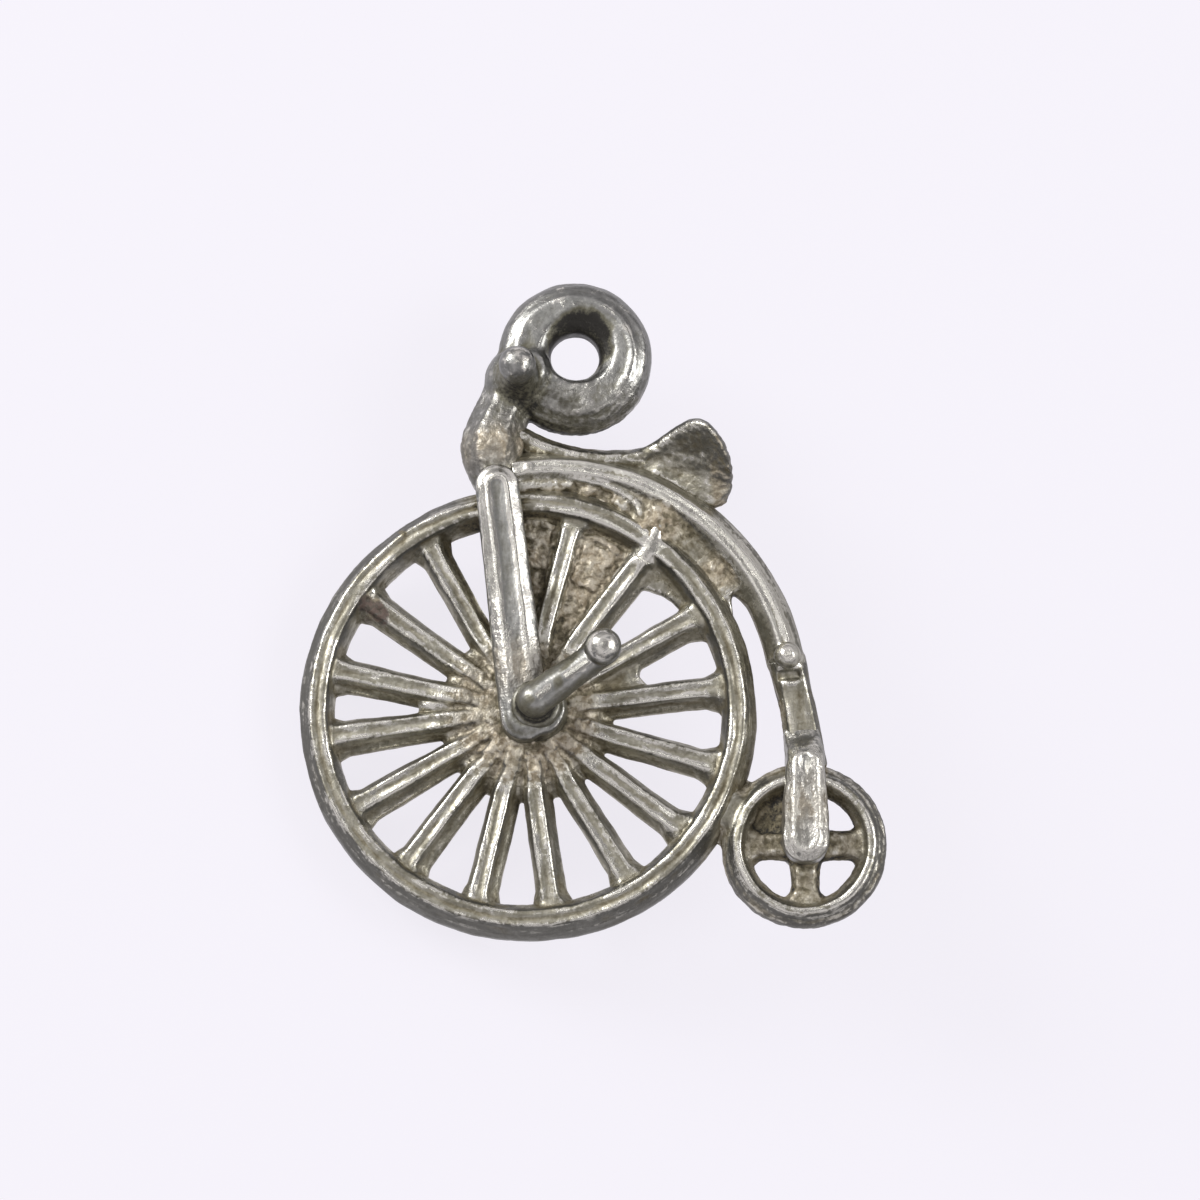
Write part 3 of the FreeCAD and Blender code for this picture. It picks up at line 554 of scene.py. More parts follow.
def wheel_grain(points):
    """The hub's face and the skins between the spokes are left as they came from the mould."""
    radius, angle = spread_of(points)
    hub = fall(radius, 1.9, 3.1)
    low = fall(np.abs(points[:, 2]), 0.32, 0.46)
    past = angle - FIRST_SPOKE
    in_skin = step(past, 44, 48) * fall(past, 88, 92) * fall(radius, 6.3, 6.7)
    return 0.12 + 0.8 * hub + 1.5 * low * in_skin + 0.7 * wheel_dirt(points)


class CHARM_OT_front_wheel(bpy.types.Operator):
    """Cast the big wheel with its rim, hub, spokes and the skins between them"""

    bl_idname = "charm.front_wheel"
    bl_label = "Big Wheel"

    def execute(self, context):
        form = bmesh.new()
        half = mm("rim_depth") / 2
        inner = RIM_SECTION["inner"]
        add_hoop(form, at(RIM_DRIFT), bar_section(half_depth=half, flank=0.3, **RIM_SECTION))
        hub = mm("hub_radius") + 0.1
        add_hoop(form, at(), [(0.2, -half), (1.2, -half), (hub - 0.2, -0.32), (hub + 0.1, 0),
                              (hub - 0.2, 0.32), (1.2, half), (0.2, half)])
        add_pin(form, (0, 0), -half, half, 0.4, 0.4)
        for direction in spoke_angles():
            wider = 0.15 * ridge(direction, 188, 60)
            stations = [(0.9, 0.8, 0.4, 0.76), (2.2, 0.9, 0.4, 0.66), (3.2, 0.92, SPOKE_FACE_WIDTH, 0.56),
                        (inner - 0.5, 0.96 + wider, SPOKE_FACE_WIDTH + 0.04, 0.54),
                        (inner - 0.1, 1.3 + wider, SPOKE_FACE_WIDTH + 0.1, 0.54),
                        (inner + 0.3, 2.2, SPOKE_FACE_WIDTH + 0.4, 0.62)]
            add_even_bar(form, at(turn=direction), stations, 0.4)
        for sector, high, deep in WHEEL_SKINS:
            add_hoop(form, at(turn=FIRST_SPOKE + SPOKE_STEP * sector), oblong(1.3, high, -deep, deep),
                     sweep=SPOKE_STEP)
        # metal fills the corner beside the third spoke
        add_sector(form, [(50, 5.2, 6.9, 0.5), (46.5, 5.6, 6.9, 0.5), (43, 5.85, 6.9, 0.48),
                          (39, 6.05, 6.9, 0.46), (35, 6.2, 6.9, 0.44), (31, 6.25, 6.9, 0.42),
                          (27, 6.2, 6.9, 0.42)], 0.35)
        # and a thin fillet the corner above the first
        add_sector(form, [(27, 3.4, 4.7, 0.25), (23, 3.4, 4.3, 0.22), (16, 3.4, 3.95, 0.2),
                          (9, 3.4, 4.2, 0.22), (5, 3.4, 4.6, 0.25)])
        # lumps of metal that ran out of the hub
        add_ball(form, polar(2.85, 172.5, 0.16), 0.4, stretch=(1.6, 0.75, 0.75), turn=172.5)
        for reach, angle, size in ((2.4, 66, 0.3), (2.75, 71, 0.2), (3.3, 78, 0.22), (3.7, 64, 0.24)):
            add_ball(form, polar(reach, angle, 0.16), size, stretch=(1.2, 0.9, 0.6), turn=angle)
        # crusty plates on the two upper skins, each under an arch
        for start, sweep, low, high in ((56.5, 10, 4.7, 6.1), (78, 9, 4.9, 6.15)):
            add_hoop(form, at(turn=start), oblong(low, high, 0, 0.33), sweep=sweep)
            arch = [polar(high + 0.25 - 0.15 * abs(share), start + sweep * (0.5 + 0.55 * share), 0.27)
                    for share in (-1, -0.3, 0.4, 1)]
            add_string(form, arch, 0.1)
        # the third spoke's head runs on over the rim
        add_string(form, [polar(6.1, 48.7, 0.3), polar(6.8, 49.5, 0.48), polar(7.55, 50.8, 0.46)], 0.32)
        spokes = [f"front_spoke_{number:02d}" for number in range(1, 17)]
        skins = ["spoke_web_rear", "spoke_web_front", "hub_fill_rear", "hub_fill_front"]
        cast(form, "front_wheel_cast", ["front_rim", "front_hub", *spokes, *skins], "cast_silver", 1,
             wheel_shape, soften=0.075, grainy=wheel_grain, stain=wheel_stain, flow=wheel_flow,
             crust=0.05, dirt=wheel_dirt)
        return {"FINISHED"}


# -------- little wheel
REAR_SPOKE = -3.35  # direction of its first spoke


class CHARM_OT_rear_wheel(bpy.types.Operator):
    """Cast the little wheel and the metal that joins it to the big rim"""

    bl_idname = "charm.rear_wheel"
    bl_label = "Little Wheel"

    def execute(self, context):
        form = bmesh.new()
        centre = centre_of("rear_hub")
        radius, half = mm("rear_radius"), high_corner("rear_rim").z
        place = at(centre.x, centre.y)
        add_hoop(form, at(centre.x - 0.04, centre.y - 0.02),
                 bar_section(radius - 0.77, radius + 0.1, half, radius - 0.5, radius - 0.28, 0.26))
        add_pin(form, centre, -half, half, 0.66, 0.66)
        stations = [(0, 1.2, 0.8, 0.5), (0.8, 0.98, 0.6, 0.45), (1.2, 0.9, 0.6, 0.42),
                    (radius - 1.1, 0.95, 0.6, 0.42), (radius - 0.55, 1.9, 1.2, 0.45)]
        for quarter in range(4):
            add_even_bar(form, place @ at(turn=REAR_SPOKE + 90 * quarter), stations)
        add_hoop(form, place @ at(turn=REAR_SPOKE + 90), oblong(0.4, 2.2, -0.25, 0.25), sweep=90)
        direction = math.degrees(math.atan2(centre.y, centre.x))
        outer = mm("front_radius")
        add_even_bar(form, at(turn=direction), [
            (outer - 0.7, 3.8, 2.2, 0.42), (outer - 0.1, 2.4, 0.9, 0.55), (outer + 0.3, 2.3, 0.8, 0.55),
            (outer + 0.9, 3.2, 1.8, 0.42)], 0.45)

        def rear_shape(points, outward):
            """A soft ridge runs round the rim."""
            middle = radius - 0.42 + 0.05 * lumpy(points, 1.2, 7)
            lift = 0.06 * ridge(away_from(points, centre), middle, 0.2)
            return raised(points, lift * turned_out(outward, 0.4))

        def rear_grain(points):
            """The skin and the spokes' flanks are rougher than the rim."""
            return 0.1 + 0.5 * fall(np.abs(points[:, 2]), 0.4, 0.55)

        def rear_stain(points):
            """The spokes are duller than the rim."""
            return 0.4 * fall(away_from(points, centre), radius - 0.95, radius - 0.65) + 0.08

        cast(form, "rear_wheel_cast",
             ["rear_rim", "rear_hub", *[f"rear_spoke_{number}" for number in range(1, 5)], "rear_web",
              "rim_bridge"], "cast_silver", 5, rear_shape, grainy=rear_grain, stain=rear_stain,
             flow=lambda points: hoop_flow(points, centre))
        return {"FINISHED"}


# -------- head, ring and handlebar
class CHARM_OT_head(bpy.types.Operator):
    """Cast the head with its stem, handlebar and bail ring"""

    bl_idname = "charm.head"
    bl_label = "Head and Ring"

    def execute(self, context):
        form = bmesh.new()
        ring, head, bar = centre_of("bail_ring"), centre_of("head"), centre_of("near_handlebar")
        radius, hole, half = mm("ring_radius") + 0.04, mm("hole_radius"), high_corner("bail_ring").z
        add_hoop(form, at(ring.x, ring.y), [
            (hole + 0.42, -half), (radius - 0.6, -half), (radius - 0.2, 0.22 - half), (radius, 0.6 - half),
            (radius, half - 0.6), (radius - 0.2, half - 0.22), (radius - 0.6, half), (hole + 0.42, half),
            (hole + 0.12, half - 0.25), (hole, half - 0.5), (hole, 0.5 - half), (hole + 0.12, 0.25 - half)])
        # place, direction, width and half depth of the stem, from below the head's lump up into the ring
        stem = [(-0.05, -1.3, 90, 1.2, 0.85), (0.0, -0.95, 90, 1.56, 1.05), (-0.02, -0.45, 90, 1.9, 1.24),
                (0.0, 0.0, 88, 2.06, 1.3), (0.06, 0.45, 82, 1.98, 1.24), (0.24, 0.9, 76, 1.84, 1.08),
                (0.5, 1.4, 71, 1.74, 0.98), (0.8, 2.1, 68, 1.66, 0.9), (1.2, 3.2, 68, 1.5, 0.85)]
        add_loft(form, [bar_loop(at(head.x + x, head.y + y, turn=lean), 0, wide, 0.45 * wide, -deep, deep,
                                 0.28) for x, y, lean, wide, deep in stem])
        ball = high_corner("near_handlebar").z - 0.58
        flare = [(0.1, 0.3), (1.15, 0.3), (1.0, 0.8), (0.7, 1.15), (0.54, 1.6), (0.46, 2.1), (0.46, ball),
                 (0.1, ball)]
        for side in (1, -1):
            add_hoop(form, at(bar.x + 0.04, bar.y - 0.12), [(away, side * z) for away, z in flare])
        for side in (-1, 1):
            add_rod(form, (bar.x, bar.y - 0.1, 0), (bar.x, bar.y - 0.05, side * ball), 0.4, 0.4)
            add_ball(form, (bar.x, bar.y, side * ball), 0.6)

        def ring_shape(points, outward):
            """The ring's faces are uneven, and the near mouth of its hole opens to the upper right."""
            x, y, z = points.T
            away, in_ring = away_from(points, ring), np.abs(z) < half + 0.3
            face = turned_out(outward, 0.5, 0.95) * step(np.abs(z), 0.4, 0.7)
            round_it = np.degrees(np.arctan2(y - ring.y, x - ring.x))
            strong = 0.3 + ridge(round_it, 10, 55) + 0.6 * ridge(round_it, -75, 25)
            lift = 0.06 * ridge(away, radius - 0.6 + 0.08 * lumpy(points, 1.2, 12), 0.16) * face * strong
            lift += 0.05 * lumpy(points, 0.9, 11) * face
            points = raised(points, lift * in_ring)
            mouth = step(points[:, 2], half - 0.5, half) * fall(away, hole + 0.5, hole + 1.1)
            mouth *= points[:, 2] < half + 0.3
            points[:, 0] += 0.14 * mouth
            points[:, 1] += 0.22 * mouth
            return points

        def head_grain(points):
            """The lump over the fork is rough, and the stem a little."""
            up = points[:, 1] - head.y
            return 0.05 + 0.3 * step(2.6 - up, 0, 1.0) + 0.6 * ridge(up, -0.1, 0.7)

        def head_stain(points):
            """Painted shade blackens the top of the ring's mouth and darkens the stem and the handlebar's
            stub under its ball; the ring is darker low on its outer edge, and the ball is rubbed bright.
            """
            x, y, z = points.T
            across, up, out = x - ring.x, y - ring.y, np.abs(z)
            away = away_from(points, ring)
            # painted shade: the inner wall at the top of the ring's mouth, turned away from the light, is
            # made black
            mouth = fall(np.hypot(across - 0.1, up - 0.28) + 0.14 * lumpy(points, 0.4, 10), 0.88, 1.28)
            mouth *= step(up + 0.3 * across, -0.5, 0.1) * (out < half + 0.2)
            under_ring = ridge(away, radius - 0.3, 0.45) * step(-up - 0.6 * across, 0.6, 2.2)
            from_bar = away_from(points, bar)
            # painted shadow under the handlebar's ball, along the stem below it and over its flared stub
            handlebar_shadow_line = off_line(points, (bar.x, bar.y - 0.85), (bar.x - 0.4, bar.y - 1.3))
            flare = (fall(from_bar, 0.9, 1.2) * step(out, half - 0.2, half + 0.1)
                     * fall(out, ball - 0.6, ball - 0.3))
            on_ball = (from_bar < 0.8) * step(out, ball - 0.4, ball)
            neck = ridge(y, head.y - 1.0, 0.16)
            on_stem = (away > radius + 0.1) * step(y, head.y - 0.9, head.y)
            return (1.6 * mouth + 0.25 * (away < radius + 0.1) + 0.7 * under_ring + 0.2 * on_stem
                    + 0.15 * ridge(handlebar_shadow_line, 0, 0.5) + 0.3 * flare - 0.45 * on_ball + 0.5 * neck)

        def head_flow(points):
            """Streaks run round the ring and up the stem, and not on the handlebar or in the hole."""
            away = away_from(points, ring)[:, None]
            flow = np.where(away < radius + 0.1, hoop_flow(points, ring, 1.6), bar_flow(points, 75, 1.6))
            plain = (np.abs(points[:, 2:]) > half + 0.15) | (away < hole + 0.4)
            return np.where(plain, points, flow)

        cast(form, "head_and_ring_cast",
             ["head", "stem", "bail_ring", "near_handlebar", "far_handlebar"], "polished_silver", 9,
             ring_shape, soften=0.12, grainy=head_grain, stain=head_stain, flow=head_flow)
        return {"FINISHED"}


# -------- fork and cranks
def add_leg(form, place, top, foot, top_width, foot_width, low, high, bevel):
    """A leg that hangs along the place's Y axis, with rounded ends and a bevelled outer face."""
    side = place @ at(turn=-90)
    ledge = high - 0.55 * bevel
    stations = [(-top, top_width, top_width - 2 * bevel, low, high),
                (-foot, foot_width, foot_width - 2 * bevel, low, high)]
    add_bar(form, side, stations, slope=(high - ledge) / (high - low))
    for reach, width in ((top, top_width), (foot, foot_width)):
        end = place @ Vector((0, reach, 0))
        add_pin(form, end, low, ledge + 0.05, width / 2, width / 2)
        add_pin(form, end, ledge, high, width / 2, width / 2 - bevel)


def on_leg(points, outward, high):
    """1 on a leg's outer face and 0 on its flanks and bevels."""
    return turned_out(outward, 0.4) * step(np.abs(points[:, 2]), high - 0.35, high - 0.15)


class CHARM_OT_fork_legs(bpy.types.Operator):
    """Cast the two legs of the fork, each with the boss that its crank turned on"""

    bl_idname = "charm.fork_legs"
    bl_label = "Fork Legs"

    def execute(self, context):
        low, high = mm("rim_depth") / 2 - 0.25, high_corner("near_fork_leg").z
        near = bmesh.new()
        place, top = at(-0.07, 0, turn=3.4), mm("front_radius") + 0.12
        ends = place @ Vector((0, top, 0)), place @ Vector((0, -0.2, 0))
        add_leg(near, place, top, -0.2, 1.42, 1.58, low, high, 0.33)
        add_rod(near, (0.35, 0.1, low), (0.35, 0.12, high - 0.2), 1.08, 0.94)

        def leg_shape(points, outward):
            """The leg's face is a little hollow between raised edges."""
            across = off_line(points, *ends)
            lift = 0.04 * ridge(across, 0.36, 0.13) - 0.03 * ridge(across, 0, 0.2)
            lift = lift * on_leg(points, outward, high) * step(points[:, 1], 0.9, 1.6)
            return raised(points, lift * (0.9 + 0.6 * lumpy(points, 1.2, 15)))

        def leg_grain(points):
            """The leg is smooth but for its lower end."""
            return 0.05 + 0.6 * ridge(points[:, 1], 1.5, 1.3)

        def leg_stain(points):
            """Its bevels are rubbed bright, round a greyer middle, and painted shade darkens its lower end
            by the crank's boss.
            """
            across = off_line(points, *ends) + 0.05 * lumpy(points, 0.7, 16)
            bevel = step(across, 0.16, 0.27) * fall(across, 0.54, 0.7) * step(points[:, 1], 0.8, 2.4)
            # painted shade over the leg's lower end, by the crank's boss
            foot = fall(points[:, 1] - 0.6 * points[:, 0], 0.0, 0.7)
            return (0.12 * fall(across, 0.16, 0.27) * step(points[:, 1], 2.2, 3.4) - 1.1 * bevel
                    + 0.8 * foot)

        cast_pair(near, "fork_leg", ["fork_leg"], (13, 17), shape=leg_shape, soften=0.1, lumps=0.8,
                  grainy=leg_grain, stain=leg_stain)
        return {"FINISHED"}


class CHARM_OT_cranks(bpy.types.Operator):
    """Cast the two cranks, each with its collar and its pedal"""

    bl_idname = "charm.cranks"
    bl_label = "Cranks and Pedals"

    def execute(self, context):
        form = bmesh.new()
        pedal = centre_of("near_pedal")
        face, tip = high_corner("near_fork_leg").z, high_corner("near_pedal").z - 0.57
        line = face + 0.45
        root = Vector((0.32, 0.22, line))
        add_rod(form, (0.35, 0.14, face - 0.4), (0.35, 0.16, face + 0.06), 0.84, 0.78)
        add_pin(form, (0.34, 0.18), face, face + 0.22, 0.64, 0.6)
        add_ball(form, root, 0.58)
        add_rod(form, root, (pedal.x, pedal.y, line), 0.56, 0.49)
        add_ball(form, (pedal.x, pedal.y, line), 0.5)
        add_pin(form, pedal, line, tip, 0.47, 0.5)
        add_ball(form, (pedal.x, pedal.y, tip), 0.6)
        direction = math.degrees(math.atan2(pedal.y - root.y, pedal.x - root.x))

        def crank_stain(points):
            """A painted dark reflection darkens the crank, but for a painted highlight in a broken line
            along its top, and the pedal is rubbed.
            """
            out = np.abs(points[:, 2])
            on_pedal = step(out, tip - 0.7, tip - 0.4) * fall(away_from(points, pedal), 0.5, 0.75)
            broken = step(lumpy(points, 0.6, 22), -0.45, 0) * (out > line + 0.05)
            # a painted highlight along the crank's top
            rubbed = ridge(off_line(points, root, pedal), 0, 0.24) * broken
            # painted dark reflection over the crank
            dark = 1.2 + 0.4 * lumpy(points, 0.45, 23)
            return (dark - 1.9 * rubbed) * (1 - on_pedal) - 0.3 * on_pedal

        cast_pair(form, "crank", ["crank", "pedal"], (21, 25), soften=0.07, stain=crank_stain,
                  flow=lambda points: bar_flow(points, direction))
        return {"FINISHED"}


# -------- backbone, saddle and rear fork
BEND = (0.87, 0.32)  # middle of the backbone's arc
BEND_RADIUS = 7.96  # and its radius
TAIL_TURN = 6.5  # degrees from upright that the straight tail leans
TAIL_TOP = BEND[1] + 0.9  # height under which it is straight
STEP_NOTCH = 0.78  # height of the notch under the mounting step
REAR_LEAN = -2.9  # degrees that the rear fork leans


class CHARM_OT_backbone(bpy.types.Operator):
    """Cast the backbone with the mounting step and the web down to the big rim"""

    bl_idname = "charm.backbone"
    bl_label = "Backbone"

    def execute(self, context):
        form = bmesh.new()
        half = 0.8
        tail = at(*BEND, turn=TAIL_TURN)
        add_hoop(form, tail, bar_section(BEND_RADIUS - 0.66, BEND_RADIUS + 0.58, half, BEND_RADIUS - 0.22,
                                         BEND_RADIUS + 0.2), sweep=90)
        top, bottom = tail @ Vector((BEND_RADIUS, 0.2, 0)), tail @ Vector((BEND_RADIUS, -3.6, 0))
        add_bar(form, at(top.x, top.y, turn=TAIL_TURN - 90),
                [(0, 1.24, 0.66, -half, half), (1.3, 1.12, 0.8, -half, 0.62),
                 ((top - bottom).length, 1.24, 0.9, -half, 0.62)], 0.2)
        add_sector(form, [(angle, mm("front_radius") - 0.5, 8.5,
                           0.36 + 0.4 * ridge(angle, 53, 7) + 0.2 * ridge(angle, 97, 4))
                          for angle in np.arange(27.5, 99, 2.5)])
        # below the web its metal thins out along the rim and along the backbone
        add_sector(form, [(29, 7.1, 8.1, 0.34), (26, 7.1, 7.84, 0.24), (23, 7.1, 7.68, 0.2),
                          (17, 7.1, 7.5, 0.2)])
        add_sector(form, [(28, 8.0, 8.7, 0.34), (25.5, 8.12, 8.7, 0.34), (22, 8.3, 8.8, 0.32),
                          (17, 8.55, 8.9, 0.3)], 0.7)
        foothold, reach = centre_of("mounting_step"), high_corner("mounting_step").z - 0.42
        add_rod(form, (foothold.x, foothold.y + 0.15, 0), (foothold.x, foothold.y, reach), 0.5, 0.36)
        add_ball(form, (foothold.x, foothold.y, reach), 0.43)
        # the backbone's face widens over the pocket, with an edge that curls round the pocket's end
        add_hoop(form, at(*BEND, turn=58), oblong(7.5, 8.0, -0.6, 0.6), sweep=34)
        edge = [(0.75, 8.03), (1.63, 7.98), (2.24, 7.8), (2.98, 7.59), (3.71, 7.19), (4.11, 6.82),
                (4.17, 6.44)]
        add_string(form, [(x, y, 0.6) for x, y in edge], 0.12)
        # and crusty lumps lie in the pocket
        add_string(form, [(0.28, 7.7, 0.42), (1.1, 7.7, 0.42), (1.86, 7.65, 0.4)], 0.21)
        add_ball(form, (2.55, 7.4, 0.4), 0.24, stretch=(1.2, 0.8, 0.7), turn=-20)
        add_ball(form, (3.6, 6.88, 0.42), 0.34, stretch=(1.4, 0.9, 0.6), turn=-35)
        # a bead stands on the face beside the fork
        add_ball(form, (0.54, 8.25, 0.72), 0.17)

        def notch_at(points):
            """The sharp step down under the mounting step."""
            x, y, z = points.T
            return (fall(np.abs(x - foothold.x), 0.3, 0.4)
                    * fall(np.abs(y - STEP_NOTCH), 0.1, 0.2) * step(z, 0.3, 0.5))

        def gusset_at(points):
            """Where the web stands flush with the backbone's face."""
            radius, angle = spread_of(points)
            return ridge(angle, 52, 8) * fall(radius, 8.3, 8.7)

        def edge_lines(away, outer, inner, share):
            """The two raised lines that run along the face, each with its spread."""
            return ridge(away, BEND_RADIUS + 0.15, outer) + share * ridge(away, BEND_RADIUS - 0.15, inner)

        def backbone_shape(points, outward):
            """Two lines stand along the face, and the notch is cut in."""
            inverse, notch = np.array(tail.inverted()), 0.14 * notch_at(points)
            away = np.where(points[:, 1] < TAIL_TOP, points @ inverse[0, :3] + inverse[0, 3],
                            away_from(points, BEND))
            face = turned_out(outward) * step(np.abs(points[:, 2]), 0.6, 0.72)
            lift = 0.05 * edge_lines(away, 0.08, 0.08, 0.8) * face
            points = raised(points, lift * (0.7 + 0.8 * lumpy(points, 0.8, 31)))
            points[:, 2] -= notch
            # the tail stands a little further out than its arc would
            points[:, 0] += 0.08 * step(1.5 - points[:, 1], 0, 2) * (points[:, 0] > 7)
            return points

        def backbone_grain(points):
            """The pocket under the face, the web's foot and the gusset are rough."""
            radius, angle = spread_of(points)
            low, inside = fall(np.abs(points[:, 2]), 0.5, 0.7), fall(radius, 8.3, 8.7)
            pocket = step(angle, 58, 64) + ridge(angle, 33, 5)
            return 0.12 + 0.85 * low * inside * step(angle, 22, 30) * pocket + 0.8 * gusset_at(points)

        def backbone_stain(points):
            """The face is rubbed, the web is brown, the tail is dull down to the little wheel, and a
            painted shadow lies under the mounting step.
            """
            radius, angle = spread_of(points)
            low, outside = fall(np.abs(points[:, 2]), 0.5, 0.7), step(radius, 8.3, 8.7)
            x, y, z = points.T
            tail_face, gusset = step(0.6 - y, 0, 0.4), gusset_at(points)
            patches = 0.4 * ridge(angle, 46, 3.5) + 0.1 * ridge(angle, 33, 5) - 0.15 * step(angle, 58, 64)
            rubbed = 0.4 + 0.4 * edge_lines(away_from(points, BEND), 0.12, 0.1, 0.7)
            # painted shadow under the mounting step's overhang, on the near face
            step_shadow = ridge(y, STEP_NOTCH, 0.3) * (z > 0) * step(x, 7.5, 8.0)
            return ((1 - outside) * low * patches + 0.45 * tail_face + 0.45 * gusset + 0.9 * step_shadow
                    - (rubbed * (1 - low) * (1 - gusset) + 0.35 * outside) * (1 - tail_face)
                    - 0.7 * ridge(angle, 54.5, 3) * ridge(radius, 8.3, 0.5))

        def backbone_flow(points):
            """Streaks follow the arc and the tail, and not the rough metal."""
            flow = np.where((points[:, 1] > TAIL_TOP)[:, None], hoop_flow(points, BEND), bar_flow(points))
            return np.where((backbone_grain(points) > 0.4)[:, None], points, flow)

        cast(form, "backbone_cast", ["backbone", "backbone_web", "mounting_step"], "cast_silver", 29,
             backbone_shape, grainy=backbone_grain, stain=backbone_stain, flow=backbone_flow, crust=0.05)
        return {"FINISHED"}


# Stations of the saddle from its nose to its tail: X, top and foot of its middle, half width of its
# edge, and how far the edge hangs below the middle
SADDLE_STATIONS = [
    (4.0, 8.6, 8.05, 0.42, 0.05), (4.8, 8.92, 7.8, 0.7, 0.05), (5.5, 9.3, 7.35, 1.15, 0.04),
    (6.1, 9.48, 6.95, 1.65, 0.05), (6.6, 9.3, 6.7, 1.95, 0.1), (7.0, 8.8, 6.85, 1.95, 0.2),
    (7.25, 8.1, 7.2, 1.5, 0.1)]


def smooth_stations(stations, between):
    """The stations with more between them, on a smooth curve through them all."""
    rows = np.array([stations[0], *stations, stations[-1]])
    finer = []
    for before, start, end, after in zip(rows, rows[1:], rows[2:], rows[3:]):
        for share in np.arange(between) / between:
            finer.append(0.5 * (2 * start + (end - before) * share
                                + (2 * before - 5 * start + 4 * end - after) * share ** 2
                                + (3 * start - before - 3 * end + after) * share ** 3))
    return [*finer, rows[-1]]


def saddle_loop(x, top, foot, half_width, hang):
    """One section of the saddle: a crowned seat with thin edges over a hollow-sided keel."""
    edge, thin = top - hang, 0.3
    keel = min(0.42, half_width * 0.6)
    drop = max(edge - thin - foot, 0.1)
    right = [(0.5, top), (0.85, top - hang * 0.4), (1.0, edge - thin * 0.4), (0.96, edge - thin)]
    near = [(x, y, share * half_width) for share, y in right]
    near += [(x, edge - thin - drop * 0.3, max(keel, half_width * 0.62)),
             (x, edge - thin - drop * 0.65, max(keel, half_width * 0.34)), (x, foot, keel)]
    far = [(x, y, -z) for _, y, z in reversed(near)]
    return [*near, *far]


class CHARM_OT_saddle(bpy.types.Operator):
    """Cast the saddle with the spring bar that carries it"""

    bl_idname = "charm.saddle"
    bl_label = "Saddle and Spring"

    def execute(self, context):
        form = bmesh.new()
        add_loft(form, [saddle_loop(*station) for station in smooth_stations(SADDLE_STATIONS, 4)])
        centre, radius = (3.7, 14.58), 6.22
        spring = bar_section(radius - 0.38, radius + 0.4, 0.6, radius - 0.16, radius + 0.04, 0.2)
        add_hoop(form, at(*centre, turn=-128), spring, sweep=45)

        def saddle_shape(points, outward):
            """The tail's edge is left ragged."""
            ragged = step(points[:, 0], 6.5, 7.0) * step(1.6 - np.abs(points[:, 2]), 0, 0.3)
            points = points.copy()
            points[:, 0] += ragged * (0.1 * lumpy(points, 0.4, 35) + 0.06 * lumpy(points, 0.2, 36))
            return points

        def saddle_grain(points):
            """The underside of the tail is as rough as it came from the mould."""
            return 0.25 + 0.9 * step(points[:, 0], 6.4, 6.9) * fall(points[:, 1], 8.6, 9.0)

        def saddle_stain(points):
            """Painted shade darkens it under the lip, and it is a little more tarnished all over."""
            return 0.25 * ridge(points[:, 1], 8.75, 0.3) * step(points[:, 0], 5.4, 6.0) + 0.1

        cast(form, "saddle_cast", ["saddle", "saddle_spring"], "cast_silver", 33, saddle_shape,
             grainy=saddle_grain, stain=saddle_stain, flow=lambda points: bar_flow(points, -20, 2.2))
        return {"FINISHED"}


class CHARM_OT_rear_fork(bpy.types.Operator):
    """Cast the two legs that hold the little wheel"""

    bl_idname = "charm.rear_fork"
    bl_label = "Rear Fork"

    def execute(self, context):
        axle = centre_of("rear_hub")
        low, high = high_corner("rear_rim").z - 0.25, high_corner("near_rear_fork_leg").z
        near = bmesh.new()
        place = at(axle.x, axle.y, turn=REAR_LEAN)
        # it slopes up out of the backbone's tail and ends in a round foot
        slope = [(9.06, -0.95, -1.0, 1.1, 0.4, 0.55), (9.1, -1.35, -1.0, 1.16, 0.5, 0.8),
                 (9.13, -1.75, -0.7, 1.2, 0.65, high - 0.22), (9.14, -2.1, -0.3, 1.24, 0.76, high - 0.05)]
        loops = [bar_loop(at(x, y, turn=REAR_LEAN - 90 - 6 * lean), 0, width, face, low - 0.3, top, 0.17)
                 for x, y, lean, width, face, top in slope]
        loops += [bar_loop(place @ at(turn=-90), -reach, width, face, low - 0.3, high, 0.17)
                  for reach, width, face in ((2.4, 1.28, 0.7), (1.2, 1.46, 0.8), (0.1, 1.54, 0.86))]
        add_loft(near, loops)
        foot = place @ Vector((0, 0.1, 0))
        add_pin(near, foot, low - 0.3, high - 0.2, 0.77, 0.77)
        add_pin(near, foot, high - 0.22, high, 0.77, 0.44)
        top = place @ Vector((0, 2.5, 0))

        def rear_leg_grain(points):
            """The leg's middle is pitted."""
            return 0.35 + 0.3 * ridge(points[:, 1], axle.y + 1.2, 0.9)

        def rear_leg_shape(points, outward):
            """Raised edges, and a small slot at the top of the face."""
            x, y, _ = points.T
            across = x - axle.x + (y - axle.y) * math.tan(math.radians(REAR_LEAN))
            slot = ridge(across, -0.05, 0.1) * ridge(y, axle.y + 2.55, 0.3)
            lift = 0.05 * ridge(off_line(points, foot, top), 0.42, 0.13) - 0.12 * slot
            return raised(points, lift * on_leg(points, outward, high))

        def rear_leg_stain(points):
            """Its edges are rubbed bright."""
            edge = off_line(points, foot, top) + 0.06 * lumpy(points, 0.6, 38)
            return -0.35 - 0.6 * ridge(edge, 0.48, 0.14) * step(top.y + 0.6 - points[:, 1], 0, 0.4)

        cast_pair(near, "rear_leg", ["rear_fork_leg"], (37, 41), shape=rear_leg_shape, soften=0.12,
                  grainy=rear_leg_grain, stain=rear_leg_stain)
        return {"FINISHED"}


# -------- wear and tarnish
RAYS = 22
REACH = 2.2  # millimetres within which other metal shades a place
RAY_START = 0.04  # millimetres off the metal, where its rays start
GRAZING = 0.15  # rays nearer to the surface than this aren't counted


